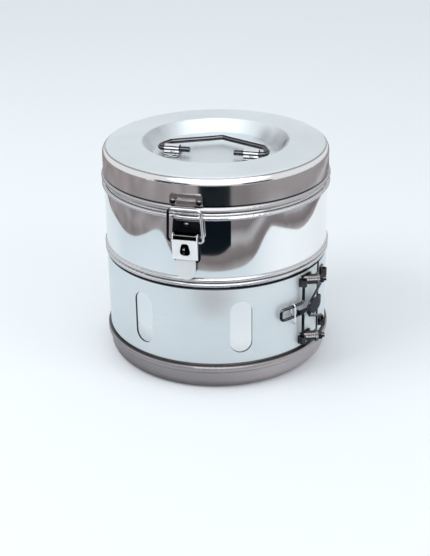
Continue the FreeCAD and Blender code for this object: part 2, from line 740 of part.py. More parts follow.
# Catch on the lid's skirt: a riveted plate with a tongue whose lip the bail draws on
catch = new_body("catch_plate")
plate = new_sketch(catch, "XZ_Plane")
outline(plate, [
    ("-catch_half_width", "catch_low", "1.5"),
    ("catch_half_width", "catch_low", "1.5"),
    ("catch_half_width", "catch_top", "3"),
    ("-catch_half_width", "catch_top", "3"),
])
pad(catch, plate, "skirt_radius + strap")
seat_on_wall(catch, "skirt_radius")
TONGUE = "-skirt_radius - strap - tongue_reach"
tongue = new_sketch(catch, "YZ_Plane")
outline(tongue, [
    ("-skirt_radius", "catch_low + tongue_root"),
    (TONGUE + " + strap", "catch_low - strap / 2", "0.6"),
    (TONGUE + " + strap", "catch_low - tongue_drop"),
    (TONGUE, "catch_low - tongue_drop"),
    (TONGUE, "catch_low - tongue_drop + tongue_lip"),
    (TONGUE + " + strap", "catch_low - tongue_drop + tongue_lip"),
    (TONGUE + " + strap", "catch_low + strap * 0.7", "0.4"),
    ("-skirt_radius", "catch_low + tongue_root + strap"),
])
pad(catch, tongue, "tongue_half_width * 2", both_sides=True)
window = new_sketch(catch, "XZ_Plane")
outline(window, [
    ("-tongue_half_width", "catch_low + window_low", "0.8"),
    ("tongue_half_width", "catch_low + window_low", "0.8"),
    ("tongue_half_width", "catch_low + window_top", "0.8"),
    ("-tongue_half_width", "catch_low + window_top", "0.8"),
])
pocket(catch, window, "through", reverse=True)
rivet_holes(catch, CATCH_RIVETS, True)
rivet_group("catch_rivets", CATCH_RIVETS, "skirt_radius + strap", FRONT)

# Latch base: a plate riveted to the drum's wall with two ears for the lever's pin
PIN_Y = "-wall_radius - strap - latch_reach"
base = new_body("latch_base")
plate = new_sketch(base, "XZ_Plane")
outline(plate, [
    ("-base_half_width", "base_low", "3"),
    ("base_half_width", "base_low", "3"),
    ("base_half_width", "base_top", "2"),
    ("-base_half_width", "base_top", "2"),
])
pad(base, plate, "wall_radius + strap")
seat_on_wall(base, "wall_radius")
ears = new_sketch(base, "YZ_Plane")
outline(ears, [
    ("-wall_radius - strap / 2", "latch_pin_level - ear_radius"),
    ("-wall_radius - strap / 2", "latch_pin_level + ear_radius"),
    (PIN_Y + " - ear_radius", "latch_pin_level + ear_radius", "ear_radius * 0.96"),
    (PIN_Y + " - ear_radius", "latch_pin_level - ear_radius", "ear_radius * 0.96"),
])
pad(base, ears, "(ear_inner + strap) * 2", both_sides=True)
between = new_sketch(base, "YZ_Plane")
outline(between, [
    ("-wall_radius - strap", "latch_pin_level - ear_radius * 1.4"),
    ("-wall_radius - strap", "latch_pin_level + ear_radius * 1.4"),
    (PIN_Y + " - ear_radius * 1.4", "latch_pin_level + ear_radius * 1.4"),
    (PIN_Y + " - ear_radius * 1.4", "latch_pin_level - ear_radius * 1.4"),
])
pocket(base, between, "ear_inner * 2", both_sides=True)
bore = new_sketch(base, "YZ_Plane")
circle(bore, PIN_Y, "latch_pin_level", "latch_pin_radius")
pocket(base, bore, "base_half_width * 3", both_sides=True)
rivet_holes(base, LATCH_RIVETS, True)
rivet_group("latch_rivets", LATCH_RIVETS, "wall_radius + strap", FRONT)

staple = new_body("latch_staple")
STAPLE_TIP = PIN_Y + " - lever_depth - staple_reach"
plate = new_sketch(staple, "YZ_Plane")
outline(plate, [
    ("-wall_radius - strap", "staple_level - staple_half_height"),
    ("-wall_radius - strap", "staple_level + staple_half_height"),
    (STAPLE_TIP, "staple_level + staple_half_height", "staple_half_height * 0.96"),
    (STAPLE_TIP, "staple_level - staple_half_height", "staple_half_height * 0.96"),
])
pad(staple, plate, "staple_half * 2", both_sides=True)
eye = new_sketch(staple, "YZ_Plane")
circle(eye, STAPLE_TIP + " + staple_half_height", "staple_level", "staple_half_height * 0.4")
pocket(staple, eye, "staple_half * 4", both_sides=True)

# Latch lever: a channel on the pin, with a pear-shaped hole over the staple and a finger tail
LEVER_HALF = "(ear_inner + strap + lever_side_gap + lever_sheet)"
LEVER_FACE = PIN_Y + " - lever_depth"
TAIL_FACE = LEVER_FACE + " + lever_lean"
REAR_EDGE = "-wall_radius - strap - lever_rear_gap"
lever = new_body("latch_lever")
channel = new_sketch(lever, "YZ_Plane")
outline(channel, [
    (TAIL_FACE, "lever_step"),
    (LEVER_FACE, "lever_top"),
    (PIN_Y + " - ear_radius", "latch_pin_level + ear_radius * 0.96", "2.2"),
    (REAR_EDGE, "latch_pin_level + ear_radius * 0.96", "2.2"),
    (REAR_EDGE, "lever_step + lever_depth * 1.7", "1"),
    (PIN_Y + " - latch_pin_radius", "lever_step", "0.4"),
])
pad(lever, channel, LEVER_HALF + " * 2", both_sides=True)
inside = new_sketch(lever, "YZ_Plane")
outline(inside, [
    (TAIL_FACE + " + lever_sheet", "lever_step"),
    (TAIL_FACE + " + lever_sheet", "lever_step - lever_depth"),
    (LEVER_FACE + " + lever_sheet", "lever_top"),
    (LEVER_FACE + " - lever_sheet", "lever_top"),
    (LEVER_FACE + " - lever_sheet", "latch_pin_level + ear_radius * 2"),
    (REAR_EDGE + " + lever_depth", "latch_pin_level + ear_radius * 2"),
    (REAR_EDGE + " + lever_depth", "lever_step - lever_depth"),
])
pocket(lever, inside, "(" + LEVER_HALF + " - lever_sheet) * 2", both_sides=True)
tail = new_sketch(lever, "YZ_Plane")
outline(tail, [
    (TAIL_FACE, "lever_step + lever_sheet"),
    (TAIL_FACE, "lever_step", "0.4"),
    (TAIL_FACE + " + tail_set", "lever_step - tail_slope", "1"),
    (TAIL_FACE + " + tail_set", "tail_low + tail_curve", "6"),
    (TAIL_FACE + " + tail_set - tail_flick", "tail_low"),
    (TAIL_FACE + " + tail_set - tail_flick + lever_sheet", "tail_low"),
    (TAIL_FACE + " + tail_set + lever_sheet", "tail_low + tail_curve", "5"),
    (TAIL_FACE + " + tail_set + lever_sheet", "lever_step - tail_slope + lever_sheet / 2", "0.4"),
    (TAIL_FACE + " + lever_sheet", "lever_step + lever_sheet / 2", "0.4"),
    (TAIL_FACE + " + lever_sheet", "lever_step + lever_sheet"),
])
pad(lever, tail, "tail_half_width * 2", both_sides=True)
tail_end = new_sketch(lever, "XZ_Plane")
for side in ("-", ""):
    outline(tail_end, [
        (side + "tail_half_width * 1.1", "tail_low - tail_flick"),
        (side + "tail_half_width * 1.1", "tail_low + tail_half_width"),
        (side + "tail_half_width", "tail_low + tail_half_width"),
        (side + "tail_half_width", "tail_low", "tail_half_width - lever_side_gap"),
        (side + "lever_side_gap / 2", "tail_low"),
        (side + "lever_side_gap / 2", "tail_low - tail_flick"),
    ])
pocket(lever, tail_end, "through", reverse=True)
keyhole = new_sketch(lever, "XZ_Plane")
outline(keyhole, [
    ("-keyhole_low_half", "keyhole_low", "3.6"),
    ("keyhole_low_half", "keyhole_low", "3.6"),
    ("keyhole_top_half", "keyhole_top", "2.4"),
    ("-keyhole_top_half", "keyhole_top", "2.4"),
])
pocket(lever, keyhole, "through", reverse=True)
pivots = new_sketch(lever, "YZ_Plane")
circle(pivots, PIN_Y, "latch_pin_level", "latch_pin_radius + pin_fit")
circle(pivots, PIN_Y + " - bail_set", "bail_level", "bail_wire + pin_fit")
pocket(lever, pivots, "base_half_width * 3", both_sides=True)

latch_pin = new_body("latch_pin")
round_bar = new_sketch(latch_pin, "YZ_Plane")
circle(round_bar, PIN_Y, "latch_pin_level", "latch_pin_radius")
pad(latch_pin, round_bar, "(" + LEVER_HALF + " + pin_end) * 2", both_sides=True)

# Bail: the wire loop that the lever draws down in front of the catch
BAIL_TOP_Y = TONGUE + " - bail_clearance - bail_wire"
half_bail = [FreeCAD.Vector(size(x), size(y), size(z)) for x, y, z in [
    (LEVER_HALF + " - lever_sheet - lever_side_gap", PIN_Y + " - bail_set", "bail_level"),
    ("bail_low_out", PIN_Y + " - bail_set", "bail_level"),
    ("bail_top_out", BAIL_TOP_Y, "bail_top"),
]]
other_half = [FreeCAD.Vector(-point.x, point.y, point.z) for point in reversed(half_bail)]
free_piece("latch_bail", bent_wire(half_bail + other_half, size("bail_bend"), size("bail_wire")))

# Band clamp: two slanting posts on one end of the band, a finger loop that pivots in
# knuckles beside them, and a wire yoke from the other end with a leaf that locks in the loop
POST_TURN = CLAMP + " + post_heading"
POST_X = "band_outer * sin(post_angle - post_heading)"
POST_Y = "band_outer * cos(post_angle - post_heading)"
LOOP_RADIUS = "(band_outer + loop_reach)"
KNUCKLE_X = LOOP_RADIUS + " * sin(loop_angle - post_heading)"
KNUCKLE_Y = "-" + LOOP_RADIUS + " * cos(loop_angle - post_heading)"
POSTS = [("upper", "(clamp_level + post_level)"), ("lower", "(clamp_level - post_level)")]


def foot_plate(body, corners):
    """A thin foot that lies on the band, cut to its curve inside and outside."""
    foot = new_sketch(body, "XZ_Plane")
    outline(foot, corners)
    pad(body, foot, "band_outer + strap")
    seat_on_wall(body, "band_outer")
    outside = new_sketch(body, "XY_Plane")
    circle(outside, "0", "0", "band_outer + strap")
    circle(outside, "0", "0", "band_outer * 1.5")
    pocket(body, outside, "through * 4", both_sides=True)


def upright_knuckle(body, x, y, level, wire):
    """A rolled knuckle standing on the foot, bored for an upright wire."""
    barrel = new_sketch(body, "XY_Plane", shift=level)
    circle(barrel, x, y, wire + " + clamp_knuckle_wall")
    pad(body, barrel, "lug_height", both_sides=True)
    seat_on_wall(body, "band_outer")


def knuckle_bore(body, x, y, level, wire):
    """Bore a knuckle for its wire."""
    bore = new_sketch(body, "XY_Plane", shift=level)
    circle(bore, x, y, wire + " + pin_fit")
    pocket(body, bore, "lug_height * 2", both_sides=True)


for label, level in POSTS:
    post = new_body("clamp_post_" + label, POST_TURN)
    foot_plate(post, [
        (KNUCKLE_X + " + tab_left", level + " - tab_half_height", "1.5"),
        (POST_X + " + collar_radius", level + " - tab_half_height", "1.5"),
        (POST_X + " + collar_radius", level + " + tab_half_height", "1.5"),
        (KNUCKLE_X + " + tab_left", level + " + tab_half_height", "1.5"),
    ])
    for start, length, radius in [
        (POST_Y + " - post_radius * 2", "post_length + post_radius * 2", "post_radius"),
        (POST_Y + " + post_length - collar_width", "collar_width", "collar_radius"),
    ]:
        barrel = new_sketch(post, "XZ_Plane", shift=start)
        circle(barrel, POST_X, level, radius)
        pad(post, barrel, length)
    upright_knuckle(post, KNUCKLE_X, KNUCKLE_Y, level, "loop_wire")
    knuckle_bore(post, KNUCKLE_X, KNUCKLE_Y, level, "loop_wire")


def nut_on_stud(x, face, level):
    """A chamfered hexagon nut with the rounded end of its stud, at a distance from the axis."""
    across = size("nut_radius")
    length = size("nut_length")
    corners = [FreeCAD.Vector(x + across * math.sin(math.radians(60 * i)), -face,
                              level + across * math.cos(math.radians(60 * i))) for i in range(6)]
    prism = Part.Face(Part.makePolygon(corners + corners[:1])).extrude(FRONT * length)
    chamfer = Part.makeCone(across * 1.25, across * 0.85, length, FreeCAD.Vector(x, -face, level), FRONT)
    stud = Part.makeCylinder(across / 2, size("stud_end"), FreeCAD.Vector(x, -face - length, level), FRONT)
    return prism.common(chamfer).fuse(stud)


free_piece("clamp_nuts", Part.makeCompound([
    nut_on_stud(size(POST_X), size(POST_Y + " + post_length"), size(level)) for label, level in POSTS
]), POST_TURN)

# Finger loop: a wire that follows the band's curve and pivots in both knuckles
LOOP_TURN = CLAMP + " + loop_angle"
HALF_ARC = size("loop_arc") / 2
loop_radius = size(LOOP_RADIUS)
middle_reach = loop_radius / math.cos(math.radians(HALF_ARC))


def on_loop(degrees, radius, level):
    """A point of the finger loop, by its angle back from the pivot."""
    angle = math.radians(degrees)
    return FreeCAD.Vector(-radius * math.sin(angle), -radius * math.cos(angle), level)


top = size("loop_level + loop_half_height")
bottom = size("loop_level - loop_half_height")
pivot_end = size("lug_height / 2 + pin_end")
loop_points = [
    on_loop(0, loop_radius, size("clamp_level + post_level") + pivot_end),
    on_loop(0, loop_radius, top),
    on_loop(HALF_ARC, middle_reach, top),
    on_loop(HALF_ARC * 2, loop_radius, top),
    on_loop(HALF_ARC * 2, loop_radius, bottom),
    on_loop(HALF_ARC, middle_reach, bottom),
    on_loop(0, loop_radius, bottom),
    on_loop(0, loop_radius, size("clamp_level - post_level") - pivot_end),
]
corner, sweep = size("loop_bend"), size("loop_sweep_radius")
free_piece("clamp_loop", bent_wire(loop_points, [corner, sweep, corner, corner, sweep, corner],
                                   size("loop_wire")), LOOP_TURN)


def racetrack_ring(centre, top, bottom, bend, radius):
    """A closed oval of round wire standing across the finger loop."""
    left = centre + FRONT * bend
    right = centre + REAR * bend
    levels = [Z_AXIS * bottom, Z_AXIS * top]
    edges = [
        Part.LineSegment(left + levels[0], left + levels[1]).toShape(),
        Part.Arc(left + levels[1], centre + Z_AXIS * (top + bend), right + levels[1]).toShape(),
        Part.LineSegment(right + levels[1], right + levels[0]).toShape(),
        Part.Arc(right + levels[0], centre + Z_AXIS * (bottom - bend), left + levels[0]).toShape(),
    ]
    ring = Part.Wire([Part.makeCircle(radius, left + levels[0], Z_AXIS)])
    return Part.Wire(edges).makePipeShell([ring], True, False)


# Keeper ring: hangs on the middle of the loop's upper run
middle_radius = middle_reach - sweep * (1 / math.cos(math.radians(HALF_ARC)) - 1)
free_piece("keeper_ring", racetrack_ring(
    FRONT * middle_radius, top, top - size("ring_drop"),
    size("loop_wire + ring_play + ring_wire"), size("ring_wire")), "(" + LOOP_TURN + ") - loop_arc / 2")

# Knuckled lugs on the far side of the split
LUG_TURN = CLAMP + " + lug_angle"
YOKE_Y = "-band_outer - lug_reach"
for label, level in [("upper", "clamp_level + lug_level"), ("lower", "clamp_level - lug_level")]:
    lug = new_body("yoke_lug_" + label, LUG_TURN)
    foot_plate(lug, [
        ("-lug_foot_left", level + " - lug_height * 0.7", "1.5"),
        ("lug_foot_right", level + " - lug_height * 0.7", "1.5"),
        ("lug_foot_right", level + " + lug_height * 0.7", "1.5"),
        ("-lug_foot_left", level + " + lug_height * 0.7", "1.5"),
    ])
    upright_knuckle(lug, "0", YOKE_Y, level, "yoke_wire")
    knuckle_bore(lug, "0", YOKE_Y, level, "yoke_wire")

# Yoke: a bent wire pivoting in both lugs, its middle run inside the leaf's rolled eye
EYE_RADIUS = "(band_outer + yoke_rise)"
APEX_TURN = "(yoke_apex_angle - lug_angle)"
apex_x = size(EYE_RADIUS + " * sin" + APEX_TURN)
apex_y = size("-" + EYE_RADIUS + " * cos" + APEX_TURN)
yoke_line = size(YOKE_Y)
half_yoke = [
    FreeCAD.Vector(0, yoke_line, size("lug_level + lug_height / 2 + pin_end")),
    FreeCAD.Vector(0, yoke_line, size("lug_level - lug_height / 2 - yoke_bend")),
    FreeCAD.Vector(apex_x, apex_y, size("yoke_apex_half")),
]
middle_level = Z_AXIS * size("clamp_level")
upper_half = [point + middle_level for point in half_yoke]
lower_half = [middle_level + FreeCAD.Vector(point.x, point.y, -point.z) for point in reversed(half_yoke)]
free_piece("clamp_yoke", bent_wire(upper_half + lower_half, size("yoke_bend"), size("yoke_wire")), LUG_TURN)

# Leaf: a curved pressed blade with a nose bent in through the loop, rolled round the yoke
LEAF_TURN = CLAMP + " + leaf_angle"
LEAF_INNER = "(band_outer + leaf_rise)"
leaf = new_body("clamp_leaf", LEAF_TURN)
blade = new_sketch(leaf, "XZ_Plane", shift="band_outer")
outline(blade, [
    ("-leaf_nose", "leaf_level - leaf_nose_half", "1"),
    ("leaf_neck", "leaf_level - leaf_nose_half", "2.5"),
    ("leaf_neck + leaf_flare", "leaf_level - leaf_half_height", "4"),
    ("leaf_end", "leaf_level - leaf_half_height * 0.5", "6"),
    ("leaf_end", "leaf_level + leaf_half_height", "3"),
    ("leaf_neck + leaf_flare", "leaf_level + leaf_half_height * 0.8", "5"),
    ("leaf_neck", "leaf_level + leaf_nose_half", "2.5"),
    ("-leaf_nose", "leaf_level + leaf_nose_half", "1"),
])
pad(leaf, blade, "leaf_rise * 1.5")
seat_on_wall(leaf, LEAF_INNER)
outside = new_sketch(leaf, "XY_Plane")
circle(outside, "0", "0", LEAF_INNER + " + leaf_sheet")
circle(outside, "0", "0", LEAF_INNER + " * 1.2")
pocket(leaf, outside, "through * 4", both_sides=True)
nose = new_sketch(leaf, "XY_Plane", shift="leaf_level")
nose_y = "-sqrt(" + LEAF_INNER + " ^ 2 - leaf_nose ^ 2)"
outline(nose, [
    ("-leaf_nose", nose_y + " - leaf_sheet"),
    ("-leaf_nose", nose_y + " + leaf_hook", "0.4"),
    ("-leaf_nose + leaf_sheet", nose_y + " + leaf_hook", "0.4"),
    ("-leaf_nose + leaf_sheet", nose_y + " - leaf_sheet"),
])
pad(leaf, nose, "leaf_nose_half * 2", both_sides=True)
EYE_TURN = "(yoke_apex_angle - leaf_angle)"
eye_x = EYE_RADIUS + " * sin" + EYE_TURN
eye_y = "-" + EYE_RADIUS + " * cos" + EYE_TURN
eye = new_sketch(leaf, "XY_Plane", shift="clamp_level")
circle(eye, eye_x, eye_y, "yoke_wire + eye_wall + pin_fit")
pad(leaf, eye, "eye_half * 2", both_sides=True)
bore = new_sketch(leaf, "XY_Plane", shift="clamp_level")
circle(bore, eye_x, eye_y, "yoke_wire + pin_fit")
pocket(leaf, bore, "eye_half * 4", both_sides=True)

doc.recompute()
for item in doc.Objects:
    if "Invalid" in item.State or "Error" in item.State:
        raise RuntimeError("%s did not rebuild: %s" % (item.Label, item.State))
os.makedirs("parts", exist_ok=True)
for piece in pieces:
    if piece.Shape.isNull() or not piece.Shape.isValid():
        raise RuntimeError("%s has no valid shape" % piece.Label)
    piece.Shape.exportStep("parts/%s.step" % piece.Label)
    box = piece.Shape.BoundBox
    print("%-20s %9.1f mm3  %d solid(s)  x %.1f..%.1f  y %.1f..%.1f  z %.1f..%.1f" % (
        piece.Label, piece.Shape.Volume, len(piece.Shape.Solids),
        box.XMin, box.XMax, box.YMin, box.YMax, box.ZMin, box.ZMax))
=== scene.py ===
# %% [markdown]
# A sterilizing drum is a set of thin steel pressings: a mirror-polished wall, a satin lid
# and vent band, a darker base pan, and small bright-plated fittings. The construction comes
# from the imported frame, in metres and in its own place. This file gives it its surfaces,
# and nothing here moves a part.

# %% Load the frame
import bmesh
import bpy
import math
from mathutils import Matrix, Vector


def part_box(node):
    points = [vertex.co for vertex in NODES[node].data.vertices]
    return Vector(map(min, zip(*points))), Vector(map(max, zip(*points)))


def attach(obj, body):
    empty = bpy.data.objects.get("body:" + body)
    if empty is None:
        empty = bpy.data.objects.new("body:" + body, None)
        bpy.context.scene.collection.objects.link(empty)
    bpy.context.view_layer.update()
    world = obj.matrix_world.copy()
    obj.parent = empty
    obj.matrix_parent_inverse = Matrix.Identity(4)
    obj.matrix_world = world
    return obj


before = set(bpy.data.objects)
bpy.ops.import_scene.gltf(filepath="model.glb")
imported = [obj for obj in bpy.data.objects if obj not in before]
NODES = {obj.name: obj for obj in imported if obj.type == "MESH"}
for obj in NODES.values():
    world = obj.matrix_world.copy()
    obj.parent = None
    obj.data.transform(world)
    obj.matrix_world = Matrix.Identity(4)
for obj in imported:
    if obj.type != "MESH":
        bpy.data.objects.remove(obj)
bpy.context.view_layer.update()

# %% [markdown]
# The camera stands where the photograph's did. Circles on the drum (its rim, beads and
# base) give the height of the eye, the distance and the focal length. The latch faces -Y,
# so turning the camera a little towards +X puts it left of centre, as in the picture.

# %% Camera
AIM = Vector((0.0, 0.0, 0.105))
EYE_DISTANCE = 1.05
EYE_AZIMUTH = math.radians(14.2)
EYE_ELEVATION = math.radians(23.17)
EYE_ROLL = math.radians(-0.71)
FRAME_HEIGHT_PX = 556
FOCAL_PX = 1088.8
AIM_OFFSET_PX = (1.77, 39.82)

towards_eye = Vector((
    math.sin(EYE_AZIMUTH) * math.cos(EYE_ELEVATION),
    -math.cos(EYE_AZIMUTH) * math.cos(EYE_ELEVATION),
    math.sin(EYE_ELEVATION),
))
camera_data = bpy.data.cameras.new("camera")
camera = bpy.data.objects.new("camera", camera_data)
bpy.context.scene.collection.objects.link(camera)
turn = towards_eye.to_track_quat("Z", "Y").to_matrix().to_4x4() @ Matrix.Rotation(EYE_ROLL, 4, "Z")
camera.matrix_world = Matrix.Translation(AIM + towards_eye * EYE_DISTANCE) @ turn
camera_data.sensor_width = 36.0
camera_data.lens = FOCAL_PX / FRAME_HEIGHT_PX * camera_data.sensor_width
camera_data.shift_x = -AIM_OFFSET_PX[0] / FRAME_HEIGHT_PX
camera_data.shift_y = -AIM_OFFSET_PX[1] / FRAME_HEIGHT_PX
bpy.context.scene.camera = camera
print("camera lens: %.1f mm" % camera_data.lens)

# %% [markdown]
# Polished metal has hardly a colour of its own: it shows its surroundings. The upright wall
# sends the camera's view down to the floor, about 2.3 mm out for each mm of height. So the
# pale sheet under the drum makes the bright lower part of the wall, and the warm grey room
# beyond the sheet's wavy edge makes the upper part and the lid's skirt. A dark card beside
# the camera makes the black block right of the latch.

# %% Floor
def link_mesh(name, points, faces):
    """A mesh object in the scene, made from points and faces."""
    mesh = bpy.data.meshes.new(name)
    mesh.from_pydata(points, [], faces)
    obj = bpy.data.objects.new(name, mesh)
    bpy.context.scene.collection.objects.link(obj)
    return obj


def plain_material(name, colour, roughness=0.9, glow=0.0):
    """An even surface for the floor and the cards; glow makes it a source of its own colour."""
    material = bpy.data.materials.new(name)
    material.use_nodes = True
    shader = material.node_tree.nodes["Principled BSDF"]
    shader.inputs["Base Color"].default_value = (*colour, 1.0)
    shader.inputs["Roughness"].default_value = roughness
    shader.inputs["Specular IOR Level"].default_value = 0.0
    shader.inputs["Emission Color"].default_value = (*colour, 1.0)
    shader.inputs["Emission Strength"].default_value = glow
    return material


FLOOR_COLOUR = (0.88, 0.92, 0.95)
FLOOR_HALF = 6.0
floor_corners = [(-FLOOR_HALF, -FLOOR_HALF, 0), (FLOOR_HALF, -FLOOR_HALF, 0),
                 (FLOOR_HALF, FLOOR_HALF, 0), (-FLOOR_HALF, FLOOR_HALF, 0)]
floor = link_mesh("floor", floor_corners, [(0, 1, 2, 3)])
floor.data.materials.append(plain_material("floor", FLOOR_COLOUR))
print("floor: %.0f m square" % (2 * FLOOR_HALF))

# %% [markdown]
# An even pale sky does most of the lighting, as a white tent does in a studio for shiny
# things. Two large soft lamps add a little direction to what is satin. They are hidden from
# reflections, since square lamps mirrored in a round wall would show as stripes that the
# photograph doesn't have.

# %% World and lamps
SKY_COLOUR = (0.91, 0.94, 0.96)
SKY_STRENGTH = 0.85
LAMP_AIM = (0.0, 0.0, 0.1)


def lamp(name, place, size, power):
    """A large soft lamp, which lights the object and isn't mirrored in it."""
    data = bpy.data.lights.new(name, "AREA")
    data.shape = "RECTANGLE"
    data.size, data.size_y = size
    data.energy = power
    obj = bpy.data.objects.new(name, data)
    bpy.context.scene.collection.objects.link(obj)
    direction = (Vector(place) - Vector(LAMP_AIM)).normalized()
    obj.matrix_world = Matrix.Translation(place) @ direction.to_track_quat("Z", "Y").to_matrix().to_4x4()
    obj.visible_glossy = False


world = bpy.data.worlds.new("studio")
bpy.context.scene.world = world
world.use_nodes = True
sky = world.node_tree.nodes["Background"]
sky.inputs["Color"].default_value = (*SKY_COLOUR, 1.0)
sky.inputs["Strength"].default_value = SKY_STRENGTH
lamp("key lamp", place=(-0.9, -0.7, 1.3), size=(0.9, 0.9), power=9.0)
lamp("fill lamp", place=(1.3, -0.4, 0.7), size=(0.7, 0.9), power=4.0)
bpy.context.scene.view_settings.view_transform = "Standard"
print("sky and lamps:", ", ".join(data.name for data in bpy.data.lights))

# %% [markdown]
# Materials here are procedural: small trees of nodes that work out a colour or a roughness
# from where a point lies on the part. The same few nodes come up in all of them, so short
# helpers place them, join their sockets and hand back the socket that carries the result.

# %% Node helpers
def object_point(tree):
    """Where a point lies on the part: its vector, then x, y and z."""
    place = tree.nodes.new("ShaderNodeTexCoord").outputs["Object"]
    split = tree.nodes.new("ShaderNodeSeparateXYZ")
    tree.links.new(place, split.inputs[0])
    return place, *split.outputs


def math_node(tree, operation, first, second=None):
    """A Math node fed by sockets or plain numbers."""
    node = tree.nodes.new("ShaderNodeMath")
    node.operation = operation
    for socket, value in zip(node.inputs, (first, second)):
        if value is None:
            continue
        if isinstance(value, (int, float)):
            socket.default_value = value
        else:
            tree.links.new(value, socket)
    return node.outputs[0]


def colour_mix(tree, factor, first, second):
    """A colour Mix node; the first and second are sockets or plain colours."""
    node = tree.nodes.new("ShaderNodeMix")
    node.data_type = "RGBA"
    tree.links.new(factor, node.inputs["Factor"])
    for socket, value in ((node.inputs[6], first), (node.inputs[7], second)):
        if isinstance(value, tuple):
            socket.default_value = (*value, 1.0)
        else:
            tree.links.new(value, socket)
    return node.outputs[2]


def colour_ramp(tree, value, stops):
    """A Color Ramp node; stops are (position, colour)."""
    node = tree.nodes.new("ShaderNodeValToRGB")
    while len(node.color_ramp.elements) < len(stops):
        node.color_ramp.elements.new(0.5)
    for element, (position, colour) in zip(node.color_ramp.elements, stops):
        element.position = position
        element.color = (*colour, 1.0)
    tree.links.new(value, node.inputs["Fac"])
    return node.outputs["Color"]


def faded(tree, value, low, high):
    """A value brought to 0 at low and 1 at high."""
    node = tree.nodes.new("ShaderNodeMapRange")
    node.inputs["From Min"].default_value = low
    node.inputs["From Max"].default_value = high
    tree.links.new(value, node.inputs["Value"])
    return node.outputs["Result"]


HELPERS = (object_point, math_node, colour_mix, colour_ramp, faded)
print("helpers:", ", ".join(helper.__name__ for helper in HELPERS))

# %% [markdown]
# The pale sheet ends in a wavy edge, and the room beyond it is warm grey. The edge is given
# by a few places round the drum, each an azimuth and a distance from the axis, and the line
# between them is eased so that it has no corners. Where the edge comes closer to the drum,
# the grey hangs lower on the wall.

# %% The sheet's edge
SHEET_EDGE = [(-180, 0.52), (-150, 0.52), (-127, 0.48), (-113, 0.441), (-95, 0.419), (-81, 0.404),
              (-68, 0.406), (-56, 0.426), (-43, 0.455), (-36, 0.452), (-30, 0.419), (-24, 0.387),
              (-10, 0.365), (12, 0.357), (35, 0.365), (45, 0.381), (51, 0.403), (56, 0.431),
              (60, 0.451), (65, 0.466), (73, 0.456), (83, 0.440), (96, 0.423), (107, 0.425),
              (118, 0.439), (128, 0.462), (139, 0.478), (160, 0.52), (180, 0.52)]
STEP = 1.5
ALL_ROUND = [-180 + STEP * i for i in range(int(360 / STEP) + 1)]


def slope_at(places, index):
    """How steeply the line runs through one of its places."""
    before, after = places[max(index - 1, 0)], places[min(index + 1, len(places) - 1)]
    return (after[1] - before[1]) / (after[0] - before[0])


def eased(places, azimuth):
    """The value at an azimuth on a smooth line through (azimuth, value) places."""
    index = next((i for i in range(len(places) - 1) if azimuth <= places[i + 1][0]), len(places) - 2)
    (first, low), (last, high) = places[index], places[index + 1]
    span = last - first
    t = min((azimuth - first) / span, 1.0)
    return (low * (2 * t ** 3 - 3 * t ** 2 + 1) + high * (3 * t ** 2 - 2 * t ** 3)
            + slope_at(places, index) * span * (t ** 3 - 2 * t ** 2 + t)
            + slope_at(places, index + 1) * span * (t ** 3 - t ** 2))


edge_radii = [eased(SHEET_EDGE, azimuth) for azimuth in ALL_ROUND]
print("sheet's edge: %.0f to %.0f mm from the axis" % (min(edge_radii) * 1e3, max(edge_radii) * 1e3))

# %% [markdown]
# The room itself is a flat ring from that edge outwards, which glows in its own colour and
# which only reflections see. On the left it is plain and cloudy. On the right its tones run
# in swirls along the edge, as in the photograph, so each point of the ring carries how far
# beyond the edge it lies, and a colour ramp turns that distance into dark and light bands.

# %% The room that the metal reflects
ROOM_REACH = 2.2
SHEET_GAP = 0.001
CLOUDS = [(0.30, (0.21, 0.19, 0.20)), (0.70, (0.38, 0.36, 0.37))]
SWIRLS = [(0.0, (0.36, 0.35, 0.36)), (0.09, (0.18, 0.16, 0.17)), (0.20, (0.25, 0.23, 0.24)),
          (0.30, (0.54, 0.55, 0.58)), (0.36, (0.49, 0.50, 0.53)), (0.46, (0.24, 0.22, 0.23)),
          (0.66, (0.32, 0.31, 0.32))]
SWIRLS_PER_METRE = 4.0
SWIRL_WANDER = 0.05
PLAIN_UNTIL_X, SWIRLS_FROM_X = -0.10, 0.05
DARK_CORNER = (0.38, -0.50, 0.0)
CORNER_NEAR, CORNER_FAR, CORNER_SHARE = 0.05, 0.30, 0.60
CORNER_COLOUR = (0.10, 0.09, 0.09)


def only_in_reflections(obj, material):
    """Show a studio piece to the metal alone."""
    obj.data.materials.append(material)
    obj.visible_camera = False
    obj.visible_shadow = False
    obj.visible_diffuse = False


def around(azimuth, radius, height):
    """A point by its azimuth from the latch in degrees, distance from the axis and height."""
    angle = math.radians(azimuth)
    return (radius * math.sin(angle), -radius * math.cos(angle), height)


def strip(name, azimuths, inner, outer):
    """A band of faces round the drum between two (radius, height) functions of the azimuth."""
    points = []
    for azimuth in azimuths:
        points.append(around(azimuth, *inner(azimuth)))
        points.append(around(azimuth, *outer(azimuth)))
    faces = [(2 * i, 2 * i + 1, 2 * i + 3, 2 * i + 2) for i in range(len(azimuths) - 1)]
    return link_mesh(name, points, faces)


